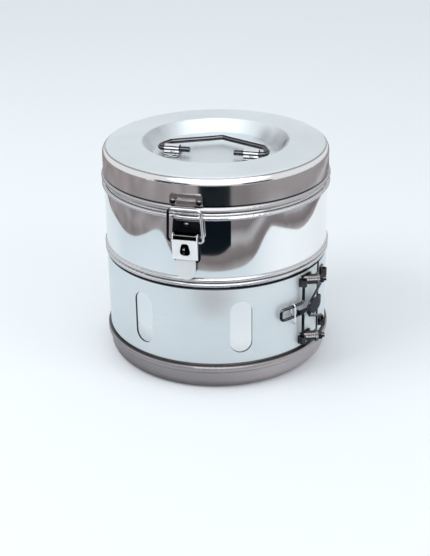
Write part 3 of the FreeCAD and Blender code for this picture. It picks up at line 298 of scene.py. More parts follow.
def room_material():
    """Warm grey, with swirls that follow the sheet's edge at the right, and a darker corner."""
    material = plain_material("room", (0.0, 0.0, 0.0), glow=1.0)
    tree = material.node_tree
    place, x, y, z = object_point(tree)
    noise = tree.nodes.new("ShaderNodeTexNoise")
    noise.inputs["Scale"].default_value = 5.0
    noise.inputs["Detail"].default_value = 2.0
    noise.inputs["Distortion"].default_value = 1.2
    tree.links.new(place, noise.inputs["Vector"])
    plain = colour_ramp(tree, noise.outputs["Fac"], CLOUDS)
    beyond = tree.nodes.new("ShaderNodeAttribute")
    beyond.attribute_name = "beyond"
    wander = math_node(tree, "MULTIPLY", math_node(tree, "SUBTRACT", noise.outputs["Fac"], 0.5), SWIRL_WANDER)
    distance = math_node(tree, "ADD", beyond.outputs["Fac"], wander)
    swirl = colour_ramp(tree, math_node(tree, "MULTIPLY", distance, SWIRLS_PER_METRE), SWIRLS)
    colour = colour_mix(tree, faded(tree, x, PLAIN_UNTIL_X, SWIRLS_FROM_X), plain, swirl)
    corner = tree.nodes.new("ShaderNodeVectorMath")
    corner.operation = "DISTANCE"
    corner.inputs[1].default_value = DARK_CORNER
    tree.links.new(place, corner.inputs[0])
    near = faded(tree, corner.outputs["Value"], CORNER_FAR, CORNER_NEAR)
    colour = colour_mix(tree, math_node(tree, "MULTIPLY", near, CORNER_SHARE), colour, CORNER_COLOUR)
    tree.links.new(colour, tree.nodes["Principled BSDF"].inputs["Emission Color"])
    return material


room = strip("room", ALL_ROUND, lambda azimuth: (eased(SHEET_EDGE, azimuth), SHEET_GAP),
             lambda azimuth: (ROOM_REACH, SHEET_GAP))
beyond_edge = room.data.attributes.new("beyond", "FLOAT", "POINT")
for index, azimuth in enumerate(ALL_ROUND):
    beyond_edge.data[2 * index + 1].value = ROOM_REACH - eased(SHEET_EDGE, azimuth)
only_in_reflections(room, room_material())
print("room: %d faces, out to %.1f m" % (len(room.data.polygons), ROOM_REACH))

# %% [markdown]
# The sheet isn't evenly white either. Its left and middle take a pale blue from their
# surroundings, and close under the drum it lies in shade. Two rings on the sheet that are
# partly see-through do both, for the metal alone: how dense each is, is given by a few
# azimuths, as the sheet's edge was, and the near one thins out to nothing at its outer edge.

# %% Shade on the sheet
SHADE_START = 0.100
NEAR_SHADE_END = 0.19
UNDER_ROOM = 0.01
BLUE_INSIDE = [(-180, 0.0), (-130, 0.15), (-100, 0.18), (-80, 0.26), (-20, 0.22), (10, 0.10),
               (35, 0.0), (180, 0.0)]
BLUE_OUTSIDE = [(-180, 0.0), (-130, 0.20), (-100, 0.30), (-80, 0.46), (35, 0.44), (52, 0.30),
                (72, 0.05), (90, 0.0), (180, 0.0)]
NEAR_INSIDE = [(-180, 0.1), (-120, 0.15), (-90, 0.32), (-50, 0.72), (-10, 0.80), (25, 0.62),
               (55, 0.25), (80, 0.0), (180, 0.0)]
NEAR_OUTSIDE = [(-180, 0.0), (180, 0.0)]
BLUE_COLOUR, BLUE_HEIGHT = (0.32, 0.46, 0.57), 0.0004
NEAR_COLOUR, NEAR_HEIGHT = (0.08, 0.07, 0.07), 0.0007


def shade(name, colour, height, outer, inner_density, outer_density):
    """A ring on the floor. The densities are (azimuth, share hidden) along its two edges."""
    material = plain_material(name, (0.0, 0.0, 0.0), glow=1.0)
    shader = material.node_tree.nodes["Principled BSDF"]
    shader.inputs["Emission Color"].default_value = (*colour, 1.0)
    dense = material.node_tree.nodes.new("ShaderNodeAttribute")
    dense.attribute_name = "hidden share"
    material.node_tree.links.new(dense.outputs["Fac"], shader.inputs["Alpha"])
    ring_of_shade = strip(name, ALL_ROUND, lambda azimuth: (SHADE_START, height),
                          lambda azimuth: (outer(azimuth), height))
    share = ring_of_shade.data.attributes.new("hidden share", "FLOAT", "POINT")
    for index, azimuth in enumerate(ALL_ROUND):
        share.data[2 * index].value = eased(inner_density, azimuth)
        share.data[2 * index + 1].value = eased(outer_density, azimuth)
    only_in_reflections(ring_of_shade, material)


shade("blue shade", BLUE_COLOUR, BLUE_HEIGHT, lambda azimuth: eased(SHEET_EDGE, azimuth) + UNDER_ROOM,
      BLUE_INSIDE, BLUE_OUTSIDE)
shade("near shade", NEAR_COLOUR, NEAR_HEIGHT, lambda azimuth: NEAR_SHADE_END, NEAR_INSIDE, NEAR_OUTSIDE)
print("shade starts %.0f mm from the axis, under the pan" % (SHADE_START * 1e3))

# %% [markdown]
# Two cards stand in that room. The dark one makes a black block on the wall and skirt, and
# its foot swings away at the right as a coat or a curtain would. The bright one hangs high
# over the camera as a long curved strip, and only the rounded edges of the lid and the beads
# are turned so that they catch it, so it draws one long highlight on them. Two low dark
# cards far behind the camera end that highlight in short dark strokes.

# %% Dark card and bright strip
CARD_FOOT = [(-1, 0.401), (13, 0.401), (20, 0.409), (26.7, 0.428)]
CARD_HEIGHT = 0.16
STRIP_FIRST, STRIP_LAST = -60, 95
STRIP_TOP, STRIP_FOOT = (0.20, 1.50), (1.30, 0.42)
STRIP_TAPER = 0.7
STRIP_GLOW = 0.92
CARD_COLOUR = (0.002, 0.004, 0.006)
CARD_STEPS = 16


def steps_between(first, last):
    """Evenly spaced azimuths."""
    return [first + (last - first) * i / CARD_STEPS for i in range(CARD_STEPS + 1)]


dark_card = strip("dark card", steps_between(CARD_FOOT[0][0], CARD_FOOT[-1][0]),
                  lambda azimuth: (eased(CARD_FOOT, azimuth), 0.0),
                  lambda azimuth: (eased(CARD_FOOT, azimuth), CARD_HEIGHT))
only_in_reflections(dark_card, plain_material("dark card", CARD_COLOUR, glow=1.0))


def strip_foot(azimuth):
    """The strip's lower edge, which rises to meet the upper one at both ends."""
    share = math.sin(math.pi * (azimuth - STRIP_FIRST) / (STRIP_LAST - STRIP_FIRST)) ** STRIP_TAPER
    return tuple(top + (foot - top) * share for top, foot in zip(STRIP_TOP, STRIP_FOOT))


bright_strip = strip("bright strip", steps_between(STRIP_FIRST, STRIP_LAST),
                     lambda azimuth: STRIP_TOP, strip_foot)
only_in_reflections(bright_strip, plain_material("bright strip", (1.0, 1.0, 1.0), glow=STRIP_GLOW))
FAR_CARDS = [(-44, -10), (38, 68)]
FAR_RADIUS, FAR_FOOT, FAR_TOP = 1.6, 0.10, 0.50
FAR_COLOUR = (0.012, 0.014, 0.018)
for number, (first, last) in enumerate(FAR_CARDS):
    far = strip("far card %d" % number, steps_between(first, last),
                lambda azimuth: (FAR_RADIUS, FAR_FOOT), lambda azimuth: (FAR_RADIUS, FAR_TOP))
    only_in_reflections(far, plain_material("far card", FAR_COLOUR, glow=1.0))
print("cards: one near and two far dark ones, one bright")

# %% [markdown]
# Spun and brushed steel is covered with fine lines that run round the axis. One shader
# group makes them for every turned piece: it reads the angle, height and radius of a point
# and stretches a noise along the angle. A group holds a shared effect once, with its own
# inputs, and gives out only a mask: the colour and the shine stay with each material.

# %% Shader group: lines round the axis
def new_group(name, inputs, outputs):
    """Start a shader node group with number sockets."""
    tree = bpy.data.node_groups.new(name, "ShaderNodeTree")
    for label, value in inputs:
        socket = tree.interface.new_socket(label, in_out="INPUT", socket_type="NodeSocketFloat")
        socket.default_value = value
    for label in outputs:
        tree.interface.new_socket(label, in_out="OUTPUT", socket_type="NodeSocketFloat")
    return tree, tree.nodes.new("NodeGroupInput"), tree.nodes.new("NodeGroupOutput")


def distance_from_axis(tree, x, y):
    """How far a point lies from the Z axis."""
    squares = math_node(tree, "ADD", math_node(tree, "MULTIPLY", x, x), math_node(tree, "MULTIPLY", y, y))
    return math_node(tree, "SQRT", squares)


def spun_lines_group():
    """Fine lines round the Z axis, as left by spinning and brushing a turned piece."""
    tree, given, out = new_group("spun lines", [("Fineness", 900.0), ("Length", 6.0)], ["Lines"])
    place, x, y, z = object_point(tree)
    angle = math_node(tree, "ARCTAN2", y, x)
    radius = distance_from_axis(tree, x, y)
    join = tree.nodes.new("ShaderNodeCombineXYZ")
    for socket, value, label in zip(join.inputs, (angle, radius, z), ("Length", "Fineness", "Fineness")):
        tree.links.new(math_node(tree, "MULTIPLY", value, given.outputs[label]), socket)
    noise = tree.nodes.new("ShaderNodeTexNoise")
    noise.inputs["Scale"].default_value = 1.0
    noise.inputs["Detail"].default_value = 4.0
    noise.inputs["Roughness"].default_value = 0.65
    tree.links.new(join.outputs[0], noise.inputs["Vector"])
    tree.links.new(noise.outputs["Fac"], out.inputs["Lines"])
    return tree


SPUN_LINES = spun_lines_group()
print("group:", SPUN_LINES.name)

# %% [markdown]
# Hands, cloths and steam leave their marks on any steel that is used: broad pale blotches
# and smaller smears. Both are soft noise, the second one finer, and materials use the first
# for colour and the second for roughness.

# %% Shader group: handling
BLOTCH_FROM, BLOTCH_TO = 0.38, 0.66


def handling_group():
    """Soft blotches and faint smears left by hands, cloths and steam."""
    tree, given, out = new_group("handling", [("Scale", 12.0)], ["Blotches", "Smears"])
    place, x, y, z = object_point(tree)
    for label, fineness, detail in (("Blotches", 1.0, 3.0), ("Smears", 3.5, 5.0)):
        noise = tree.nodes.new("ShaderNodeTexNoise")
        noise.inputs["Detail"].default_value = detail
        tree.links.new(place, noise.inputs["Vector"])
        tree.links.new(math_node(tree, "MULTIPLY", given.outputs["Scale"], fineness), noise.inputs["Scale"])
        tree.links.new(faded(tree, noise.outputs["Fac"], BLOTCH_FROM, BLOTCH_TO), out.inputs[label])
    return tree


HANDLING = handling_group()
print("group:", HANDLING.name)

# %% [markdown]
# Painted shade in a gap, on a raw cut edge and along a crease, and a painted highlight over a
# bead, are all thin lines that run round the drum. Each lies at one height or at one distance
# from the axis, so two groups make them all. A mask is 1 within half the line's width and
# falls to 0 over a soft margin.

# %% Shader groups: lines at a height and at a radius
LINE_SOCKETS = [("Half width", 0.001), ("Soft", 0.0005)]


def distance_mask(tree, value, middle, given, out):
    """1 within the half width of the middle, falling to 0 over the soft distance."""
    away = math_node(tree, "ABSOLUTE", math_node(tree, "SUBTRACT", value, middle))
    over = math_node(tree, "SUBTRACT", away, given.outputs["Half width"])
    fall = math_node(tree, "DIVIDE", over, given.outputs["Soft"])
    rest = math_node(tree, "SUBTRACT", 1.0, fall)
    clamp = tree.nodes.new("ShaderNodeClamp")
    tree.links.new(rest, clamp.inputs["Value"])
    tree.links.new(clamp.outputs[0], out.inputs["Mask"])


def level_line_group():
    """A mask for one height: 1 on the level, falling to 0 above and below it."""
    tree, given, out = new_group("level line", [("Level", 0.1), *LINE_SOCKETS], ["Mask"])
    place, x, y, z = object_point(tree)
    distance_mask(tree, z, given.outputs["Level"], given, out)
    return tree


def radius_line_group():
    """A mask for one distance from the Z axis, such as a crease or a cut edge that runs round."""
    tree, given, out = new_group("radius line", [("Radius", 0.1), *LINE_SOCKETS], ["Mask"])
    place, x, y, z = object_point(tree)
    distance_mask(tree, distance_from_axis(tree, x, y), given.outputs["Radius"], given, out)
    return tree


LEVEL_LINE = level_line_group()
RADIUS_LINE = radius_line_group()
print("groups:", LEVEL_LINE.name, "and", RADIUS_LINE.name)

# %% [markdown]
# Some painted shade doesn't run all the way round. The dish takes painted shade on its left
# and right sides, and single spots of painted shade sit in one place, as does one painted warm
# reflection on the band. The first group narrows a radius line to the two sides, and the
# second is a soft ball round a point.

# %% Shader groups: dish sides and soft spots
SIDE_FROM, SIDE_TO = 0.70, 0.98


def place_group(tree, group, **values):
    """A shader group in a material, with its own numbers."""
    node = tree.nodes.new("ShaderNodeGroup")
    node.node_tree = group
    for label, value in values.items():
        node.inputs[label.replace("_", " ")].default_value = value
    return node


def dish_sides_group():
    """A mask for the left and right of a ring round the Z axis, where the dish takes painted shade."""
    tree, given, out = new_group("dish sides", [("Radius", 0.1), *LINE_SOCKETS], ["Mask"])
    place, x, y, z = object_point(tree)
    inner = place_group(tree, RADIUS_LINE)
    for label in ("Radius", "Half width", "Soft"):
        tree.links.new(given.outputs[label], inner.inputs[label])
    side = math_node(tree, "DIVIDE", math_node(tree, "ABSOLUTE", x), given.outputs["Radius"])
    noise = tree.nodes.new("ShaderNodeTexNoise")
    noise.inputs["Scale"].default_value = 40.0
    tree.links.new(place, noise.inputs["Vector"])
    strength = math_node(tree, "MULTIPLY", faded(tree, side, SIDE_FROM, SIDE_TO), noise.outputs["Fac"])
    tree.links.new(math_node(tree, "MULTIPLY", inner.outputs["Mask"], strength), out.inputs["Mask"])
    return tree


def soft_spot_group():
    """A mask for one place: 1 there, falling to 0 at the radius."""
    tree, given, out = new_group("soft spot", [("X", 0.0), ("Y", 0.0), ("Z", 0.0), ("Radius", 0.01)],
                                 ["Mask"])
    place, x, y, z = object_point(tree)
    middle = tree.nodes.new("ShaderNodeCombineXYZ")
    for socket, label in zip(middle.inputs, ("X", "Y", "Z")):
        tree.links.new(given.outputs[label], socket)
    away = tree.nodes.new("ShaderNodeVectorMath")
    away.operation = "DISTANCE"
    tree.links.new(place, away.inputs[0])
    tree.links.new(middle.outputs[0], away.inputs[1])
    fall = tree.nodes.new("ShaderNodeMapRange")
    fall.interpolation_type = "SMOOTHSTEP"
    tree.links.new(away.outputs["Value"], fall.inputs["Value"])
    tree.links.new(given.outputs["Radius"], fall.inputs["From Max"])
    fall.inputs["To Min"].default_value = 1.0
    fall.inputs["To Max"].default_value = 0.0
    tree.links.new(fall.outputs["Result"], out.inputs["Mask"])
    return tree


DISH_SIDE_SHADE = dish_sides_group()
SOFT_SPOT = soft_spot_group()
print("groups:", DISH_SIDE_SHADE.name, "and", SOFT_SPOT.name)

# %% [markdown]
# Plated fittings need to know which way a face is turned, since that decides what it
# mirrors. This group reads the direction of the face in the part's own coordinates, so the
# answer is the same from every side, and roughens it a little so that no edge is too clean.

# %% Shader group: facing
def facing_group():
    """Which way a face is turned: upwards from 0 (down) over 0.5 (upright) to 1, right and back."""
    tree, given, out = new_group("facing", [("Unevenness", 0.05)], ["Upwards", "Rightwards", "Backwards"])
    place, x, y, z = object_point(tree)
    turned = tree.nodes.new("ShaderNodeSeparateXYZ")
    tree.links.new(place.node.outputs["Normal"], turned.inputs[0])
    rightwards, backwards, upwards = turned.outputs
    noise = tree.nodes.new("ShaderNodeTexNoise")
    noise.inputs["Scale"].default_value = 260.0
    tree.links.new(place, noise.inputs["Vector"])
    half = math_node(tree, "ADD", math_node(tree, "MULTIPLY", upwards, 0.5), 0.5)
    wobble = math_node(tree, "MULTIPLY", math_node(tree, "SUBTRACT", noise.outputs["Fac"], 0.5),
                       given.outputs["Unevenness"])
    tree.links.new(math_node(tree, "ADD", half, wobble), out.inputs["Upwards"])
    tree.links.new(rightwards, out.inputs["Rightwards"])
    tree.links.new(backwards, out.inputs["Backwards"])
    return tree


FACING = facing_group()
print("group:", FACING.name)

# %% [markdown]
# Every sheet-metal part here is one shader with different numbers: how light the metal is,
# how rough the polish is, how strongly the spinning lines show, and how much handling has
# dulled it. Its seams are colours painted at a height, at a distance from the axis, or round a
# point. Most are painted shade: the dark line in the gap under the middle beads, on the raw cut
# edge of the band and along the crease round the lid. The rest are painted highlights and
# painted reflections.

# %% Steel finishes
LINE_FINENESS = 900.0
LINE_LENGTH = 6.0


def steel(name, light, dark, rough, rough_spread, line_depth, smear=12.0, line_colour=0.4,
          metallic=1.0, seams=(), polish=()):
    """A steel finish. seams are (group, values, strength, colour): painted shade, highlights and reflections;
    polish is (group, values, change).
    """
    material = bpy.data.materials.new(name)
    material.use_nodes = True
    tree = material.node_tree
    shader = tree.nodes["Principled BSDF"]
    shader.inputs["Metallic"].default_value = metallic
    lines = place_group(tree, SPUN_LINES, Fineness=LINE_FINENESS, Length=LINE_LENGTH)
    marks = place_group(tree, HANDLING, Scale=smear)
    blotches = math_node(tree, "MULTIPLY", marks.outputs["Blotches"], 0.5)
    streaks = math_node(tree, "MULTIPLY", lines.outputs["Lines"], line_colour)
    colour = colour_mix(tree, math_node(tree, "ADD", blotches, streaks), light, dark)
    spread = math_node(tree, "ADD", math_node(tree, "MULTIPLY", marks.outputs["Smears"], 0.5),
                       math_node(tree, "MULTIPLY", lines.outputs["Lines"], 0.5))
    roughness = math_node(tree, "ADD", math_node(tree, "MULTIPLY", spread, rough_spread), rough)
    for group, values, strength, seam_colour in seams:
        mask = place_group(tree, group, **values).outputs["Mask"]
        colour = colour_mix(tree, math_node(tree, "MULTIPLY", mask, strength), colour, seam_colour)
    for group, values, change in polish:
        mask = place_group(tree, group, **values).outputs["Mask"]
        roughness = math_node(tree, "ADD", roughness, math_node(tree, "MULTIPLY", mask, change))
    tree.links.new(colour, shader.inputs["Base Color"])
    tree.links.new(roughness, shader.inputs["Roughness"])
    bump = tree.nodes.new("ShaderNodeBump")
    bump.inputs["Strength"].default_value = 1.0
    bump.inputs["Distance"].default_value = line_depth
    tree.links.new(lines.outputs["Lines"], bump.inputs["Height"])
    tree.links.new(bump.outputs["Normal"], shader.inputs["Normal"])
    return material


print("steel takes its lines from the group", SPUN_LINES.name, "and its marks from", HANDLING.name)

# %% [markdown]
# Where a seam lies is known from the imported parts: the band's top and bottom edges, the pan's
# lip and the lid's rim are read from their boxes. Beads lie between those, at the heights
# that the drum was made with. Three helpers turn such places into a group's inputs.

# %% Where the seams lie
WALL_RADIUS = 0.1050
LID_RADIUS = 0.1054
DISH_SLOPE = 0.0633
MID_BEADS = (0.1046, 0.1093)
TOP_BEAD = 0.1682


def level(middle, half, soft=0.0004):
    """Values for a line at a height, in metres."""
    return {"Level": middle, "Half_width": half, "Soft": soft}


def ring(middle, half, soft=0.0004):
    """Values for a line at a distance from the axis, in metres."""
    return {"Radius": middle, "Half_width": half, "Soft": soft}


def spot(azimuth, distance, height, radius):
    """Values for a soft spot round a place on the drum, in degrees and metres."""
    x, y, z = around(azimuth, distance, height)
    return {"X": x, "Y": y, "Z": z, "Radius": radius}


BAND_LOW, BAND_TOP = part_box("vent_band")[0][2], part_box("vent_band")[1][2]
BAND_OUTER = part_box("vent_band")[1][0]
LIP_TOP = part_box("base_pan")[1][2]
LID_LOW, LID_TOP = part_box("lid_shell")[0][2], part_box("lid_shell")[1][2]
print("band %.1f to %.1f mm" % (BAND_LOW * 1e3, BAND_TOP * 1e3))
print("lid %.1f to %.1f mm" % (LID_LOW * 1e3, LID_TOP * 1e3))

# %% [markdown]
# The wall is buffed like a mirror, and its rolled beads are duller, because the wheel hardly
# reaches them; the grey over them is painted shade. Each bead has a painted highlight over
# its crest and a thin line of painted shade under it, and painted shade darkens the gap over
# the band and the neck under the lid. Every seam below is a place, how strong it is and its
# colour, and polish changes the roughness at a place.

# %% Finish of the wall
# The dark colour of the painted shade lines, the beads' grey painted shade and their painted highlight.
SHADE_LINE_COLOUR = (0.012, 0.014, 0.018)
BEAD_SHADE_GREY = (0.37, 0.35, 0.37)
BEAD_HIGHLIGHT = (0.97, 0.97, 0.97)


def bead_highlight_and_shade(bead):
    """A painted highlight above a bead's crest and a thin line of painted shade under it."""
    return [(LEVEL_LINE, level(bead + 0.0006, 0.0004, 0.0007), 0.85, BEAD_HIGHLIGHT),
            (LEVEL_LINE, level(bead - 0.0023, 0.0002), 0.60, SHADE_LINE_COLOUR)]


wall_beads = ring(WALL_RADIUS + 0.0035, 0.0028)
wall = steel(
    "mirror wall", light=(0.93, 0.93, 0.93), dark=(0.86, 0.85, 0.84),
    rough=0.03, rough_spread=0.03, line_depth=1e-7,
    seams=[
        (RADIUS_LINE, wall_beads, 0.75, BEAD_SHADE_GREY),
        *bead_highlight_and_shade(MID_BEADS[0]), *bead_highlight_and_shade(MID_BEADS[1]), *bead_highlight_and_shade(TOP_BEAD),
        # Painted shade above the upper middle bead, in the gap over the band and under the lid.
        (LEVEL_LINE, level(MID_BEADS[1] + 0.0026, 0.0001), 0.50, SHADE_LINE_COLOUR),
        (LEVEL_LINE, level(BAND_TOP + 0.0008, 0.0012), 0.97, SHADE_LINE_COLOUR),
        (LEVEL_LINE, level(LID_LOW - 0.0012, 0.0012), 0.45, SHADE_LINE_COLOUR),
    ],
    polish=[(RADIUS_LINE, wall_beads, 0.20)])
print("wall finished:", wall.name)

# %% [markdown]
# The vent band is brushed and the base is left dull, as parts are that get handled. So the
# band is only partly mirror: less metallic and rough. Its cool tint is a painted reflection
# of blue surroundings, and a painted warm reflection sits in the middle, of whatever stands
# before it. Lines of painted shade run along its top and bottom edges, and the raw cut edges
# of its vents are painted dark with the shade of the gap behind them. The pan's steel is
# darker; painted shade tones down the crest of its lip and draws the line under the band.

# %% Finishes of the vent band and the base
band = steel(
    "brushed band", light=(0.805, 0.855, 0.88), dark=(0.675, 0.725, 0.75),
    rough=0.50, rough_spread=0.12, line_depth=1e-6, smear=9.0, metallic=0.6,
    seams=[
        (LEVEL_LINE, level(BAND_TOP, 0.0007), 0.96, SHADE_LINE_COLOUR),
        (LEVEL_LINE, level(BAND_LOW, 0.0007), 0.90, SHADE_LINE_COLOUR),
        (RADIUS_LINE, ring(BAND_OUTER - 0.0010, 0.0008, 0.0001), 0.85, SHADE_LINE_COLOUR),
        # A painted warm reflection in the middle of the band.
        (SOFT_SPOT, spot(12, BAND_OUTER, BAND_TOP - 0.010, 0.030), 0.42, (0.38, 0.34, 0.33)),
    ])
pan = steel(
    "dull base", light=(0.61, 0.56, 0.56), dark=(0.47, 0.43, 0.44),
    rough=0.34, rough_spread=0.10, line_depth=5e-7, line_colour=0.15,
    seams=[
        (LEVEL_LINE, level(LIP_TOP - 0.0018, 0.0012, 0.0010), 0.45, (0.34, 0.31, 0.31)),
        (LEVEL_LINE, level(LIP_TOP, 0.0006), 0.80, SHADE_LINE_COLOUR),
    ])
print("band and base finished:", band.name, "and", pan.name)

# %% [markdown]
# The lid is satin on top, where a sandblasted or brushed plane hides scratches, and polished
# on its skirt. Its cool tint is a painted reflection of blue surroundings. One ring at the
# skirt's radius makes it smooth there and takes that tint away. A thin line of painted shade
# marks the crease inside the shoulder, the lid's bead has the beads' grey painted shade and a
# line of painted shade above it, and the dish has painted shade on its two sides and in a few
# spots at the right.

# %% Finish of the lid
DISH_SHADE = (0.36, 0.36, 0.37)
dish_shade_spots = [(SOFT_SPOT, spot(azimuth, DISH_SLOPE - 0.003, LID_TOP - 0.012, 0.016), 0.60, DISH_SHADE)
              for azimuth in (110, 126, 142)]
lid_bead = ring(LID_RADIUS + 0.0014, 0.0008)
lid = steel(
    "satin lid", light=(0.865, 0.92, 0.945), dark=(0.75, 0.79, 0.81),
    rough=0.44, rough_spread=0.10, line_depth=6e-7,
    seams=[
        (RADIUS_LINE, ring(LID_RADIUS, 0.0026), 0.90, (0.94, 0.91, 0.90)),
        (RADIUS_LINE, ring(LID_RADIUS - 0.0029, 0.0003, 0.0005), 0.75, (0.20, 0.20, 0.22)),
        (RADIUS_LINE, lid_bead, 0.65, BEAD_SHADE_GREY),
        (LEVEL_LINE, level(LID_LOW + 0.0051, 0.0004, 0.0006), 0.93, SHADE_LINE_COLOUR),
        *dish_shade_spots,
        # Two dark spots of painted shade on the dish's slope at the right.
        (SOFT_SPOT, spot(103, DISH_SLOPE, LID_TOP - 0.004, 0.009), 0.90, (0.10, 0.09, 0.10)),
        (SOFT_SPOT, spot(90, DISH_SLOPE - 0.001, LID_TOP - 0.006, 0.008), 0.85, (0.12, 0.11, 0.12)),
        (DISH_SIDE_SHADE, ring(DISH_SLOPE, 0.0043, 0.0015), 0.75, (0.30, 0.30, 0.31)),
    ],
    polish=[
        (RADIUS_LINE, ring(LID_RADIUS, 0.0028, 0.0010), -0.36),
        (RADIUS_LINE, lid_bead, 0.22),
    ])
print("lid finished:", lid.name)

# %% [markdown]
# The small fittings are plated, and plating is a tiny room of mirrors: a strip of light on
# each upward curve, and near black where a face looks at the shaded metal beside it. Here those
# strips are painted highlights and painted shade: a colour ramp over the direction that a face
# is turned paints them into the colour, the same from every side.

# %% Plating
# Colours of the plating's painted shade and painted highlights.
BLACK = (0.010, 0.013, 0.018)
DEEP_SHADE = (0.045, 0.042, 0.045)
GREY = (0.30, 0.28, 0.28)
BRIGHT = (0.92, 0.93, 0.94)
EDGE_FROM, EDGE_TO = 0.3, 0.6
# A greyer painted shade for the low part of a face.
LOW_SHADE_MARGIN, LOW_SHADE_SHARE, LOW_SHADE_COLOUR = 0.0004, 0.45, (0.52, 0.53, 0.52)
UNEVENNESS = 0.06


def plated(name, stops, rough, rough_spread=0.08, smear=90.0, metallic=1.0, wear=0.25,
           dark_edge=0.0, dark_half=None, shade_below=None):
    """Plating: stops are (how far upwards, colour), painted highlights and painted shade. dark_edge
    paints shade on the faces turned right or to the wall; dark_half, (first x, last x), paints
    shade over the left half of a piece; and below the last height given, the plating is painted a
    greyer shade. Both are in metres."""
    material = bpy.data.materials.new(name)
    material.use_nodes = True
    tree = material.node_tree
    shader = tree.nodes["Principled BSDF"]
    shader.inputs["Metallic"].default_value = metallic
    turned = place_group(tree, FACING, Unevenness=UNEVENNESS)
    marks = place_group(tree, HANDLING, Scale=smear)
    worn = math_node(tree, "MULTIPLY", marks.outputs["Blotches"], wear)
    colour = colour_mix(tree, worn, colour_ramp(tree, turned.outputs["Upwards"], stops), GREY)
    if dark_edge:
        for label in ("Rightwards", "Backwards"):
            side = faded(tree, turned.outputs[label], EDGE_FROM, EDGE_TO)
            colour = colour_mix(tree, math_node(tree, "MULTIPLY", side, dark_edge), colour, BLACK)
    if dark_half or shade_below:
        place, x, y, z = object_point(tree)
    if dark_half:
        colour = colour_mix(tree, faded(tree, x, *dark_half), BLACK, colour)
    if shade_below:
        # Below that height the face takes a greyer painted shade.
        dull = faded(tree, z, shade_below, shade_below - LOW_SHADE_MARGIN)
        colour = colour_mix(tree, math_node(tree, "MULTIPLY", dull, LOW_SHADE_SHARE), colour, LOW_SHADE_COLOUR)
    tree.links.new(colour, shader.inputs["Base Color"])
    smears = math_node(tree, "MULTIPLY", marks.outputs["Smears"], rough_spread)
    tree.links.new(math_node(tree, "ADD", smears, rough), shader.inputs["Roughness"])
    return material


print("plating reads the direction of a face from the group", FACING.name)

# %% [markdown]
# Each ramp below runs from faces turned down, at 0, over upright ones, at 0.5, to faces
# turned up, at 1. A round wire or barrel shows its whole ramp across its width, so the bright
# stops become painted highlights along it, and the dark stops between them are painted shade
# that makes it read as polished.

# %% Finishes of the fittings
dark_plate = plated(
    "dark plate", [(0.0, BLACK), (0.52, BLACK), (0.66, DEEP_SHADE), (0.76, GREY), (0.90, DEEP_SHADE)],
    rough=0.16, wear=0.06)
post_plate = plated(
    "post plate", [(0.0, BLACK), (0.52, DEEP_SHADE), (0.58, BRIGHT), (0.66, BRIGHT), (0.72, DEEP_SHADE),
                   (0.86, GREY), (1.0, DEEP_SHADE)],
    rough=0.12, wear=0.12)
stripe_plate = plated(
    "stripe plate", [(0.0, GREY), (0.38, BRIGHT), (0.50, BLACK), (0.60, BLACK), (0.64, BRIGHT),
                     (0.72, BRIGHT), (0.78, BLACK), (0.86, BLACK), (0.90, BRIGHT), (1.0, BRIGHT)],
    rough=0.12)
grip_wire = plated(
    "grip wire", [(0.0, GREY), (0.35, DEEP_SHADE), (0.50, BLACK), (0.62, BLACK), (0.72, (0.28, 0.27, 0.29)),
                  (0.82, (0.15, 0.14, 0.15)), (0.92, BLACK), (1.0, BLACK)],
    rough=0.14, wear=0.10)
# The lever's face: painted shade on its back and right edges, and a greyer painted shade on its low tail.
face_plate = plated(
    "face plate", [(0.0, GREY), (0.44, BRIGHT), (1.0, BRIGHT)],
    rough=0.42, metallic=0.30, smear=50.0, wear=0.10, dark_edge=0.95, shade_below=0.1312)
warm_plate = plated(
    "warm plate", [(0.0, DEEP_SHADE), (0.40, GREY), (0.55, (0.42, 0.38, 0.37)), (0.80, BLACK), (1.0, GREY)],
    rough=0.20)
hinge_plate = plated(
    "hinge plate", [(0.0, GREY), (0.45, (0.55, 0.54, 0.54)), (0.60, BRIGHT), (0.74, BRIGHT),
                    (0.82, DEEP_SHADE), (0.92, BRIGHT)],
    rough=0.24, rough_spread=0.14, smear=40.0)
BRIGHT_STOPS = [(0.0, GREY), (0.5, BRIGHT), (1.0, BRIGHT)]
ring_plate = plated("ring plate", BRIGHT_STOPS, rough=0.15)
# The bail's left leg is painted black: painted shade.
bail_plate = plated("bail plate", BRIGHT_STOPS, rough=0.15, dark_half=(-0.0135, -0.0105))
print("materials so far:", len(bpy.data.materials))

# %% [markdown]
# Last, every node of the part is given its finish by name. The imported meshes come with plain
# materials, so those are cleared first.

# %% Who wears what
WEARS = {
    "drum_shell": wall, "lid_shell": lid, "vent_band": band, "base_pan": pan,
    "handle": grip_wire, "handle_lug_left": stripe_plate, "handle_lug_right": stripe_plate,
    "latch_lever": face_plate, "latch_base": dark_plate, "latch_staple": dark_plate,
    "latch_pin": dark_plate, "latch_rivets": dark_plate, "latch_bail": bail_plate,
    "catch_plate": warm_plate, "catch_rivets": dark_plate, "keeper_ring": ring_plate,
    "clamp_post_upper": post_plate, "clamp_post_lower": post_plate, "clamp_nuts": dark_plate,
    "clamp_loop": dark_plate, "clamp_yoke": dark_plate, "clamp_leaf": dark_plate,
    "yoke_lug_upper": post_plate, "yoke_lug_lower": post_plate,
    "drum_hinge_leaf": hinge_plate, "lid_hinge_leaf": hinge_plate, "hinge_pin": hinge_plate,
    "drum_hinge_rivets": hinge_plate, "lid_hinge_rivets": hinge_plate, "handle_lug_rivets": stripe_plate,
}
for name, node in NODES.items():
    node.data.materials.clear()
    node.data.materials.append(WEARS[name])
print("nodes finished:", len(NODES))

# %% [markdown]
# Three kinds of small turned detail repeat on the fittings: the screw thread on the inner
# ends of the handle, the turned grooves of the clamp's barrels, and the knurling on their
# collars. Each is one small shape set many times along or around an axis, so Geometry Nodes
# make them. A thread this fine reads as a row of rings, and rings need no helix.

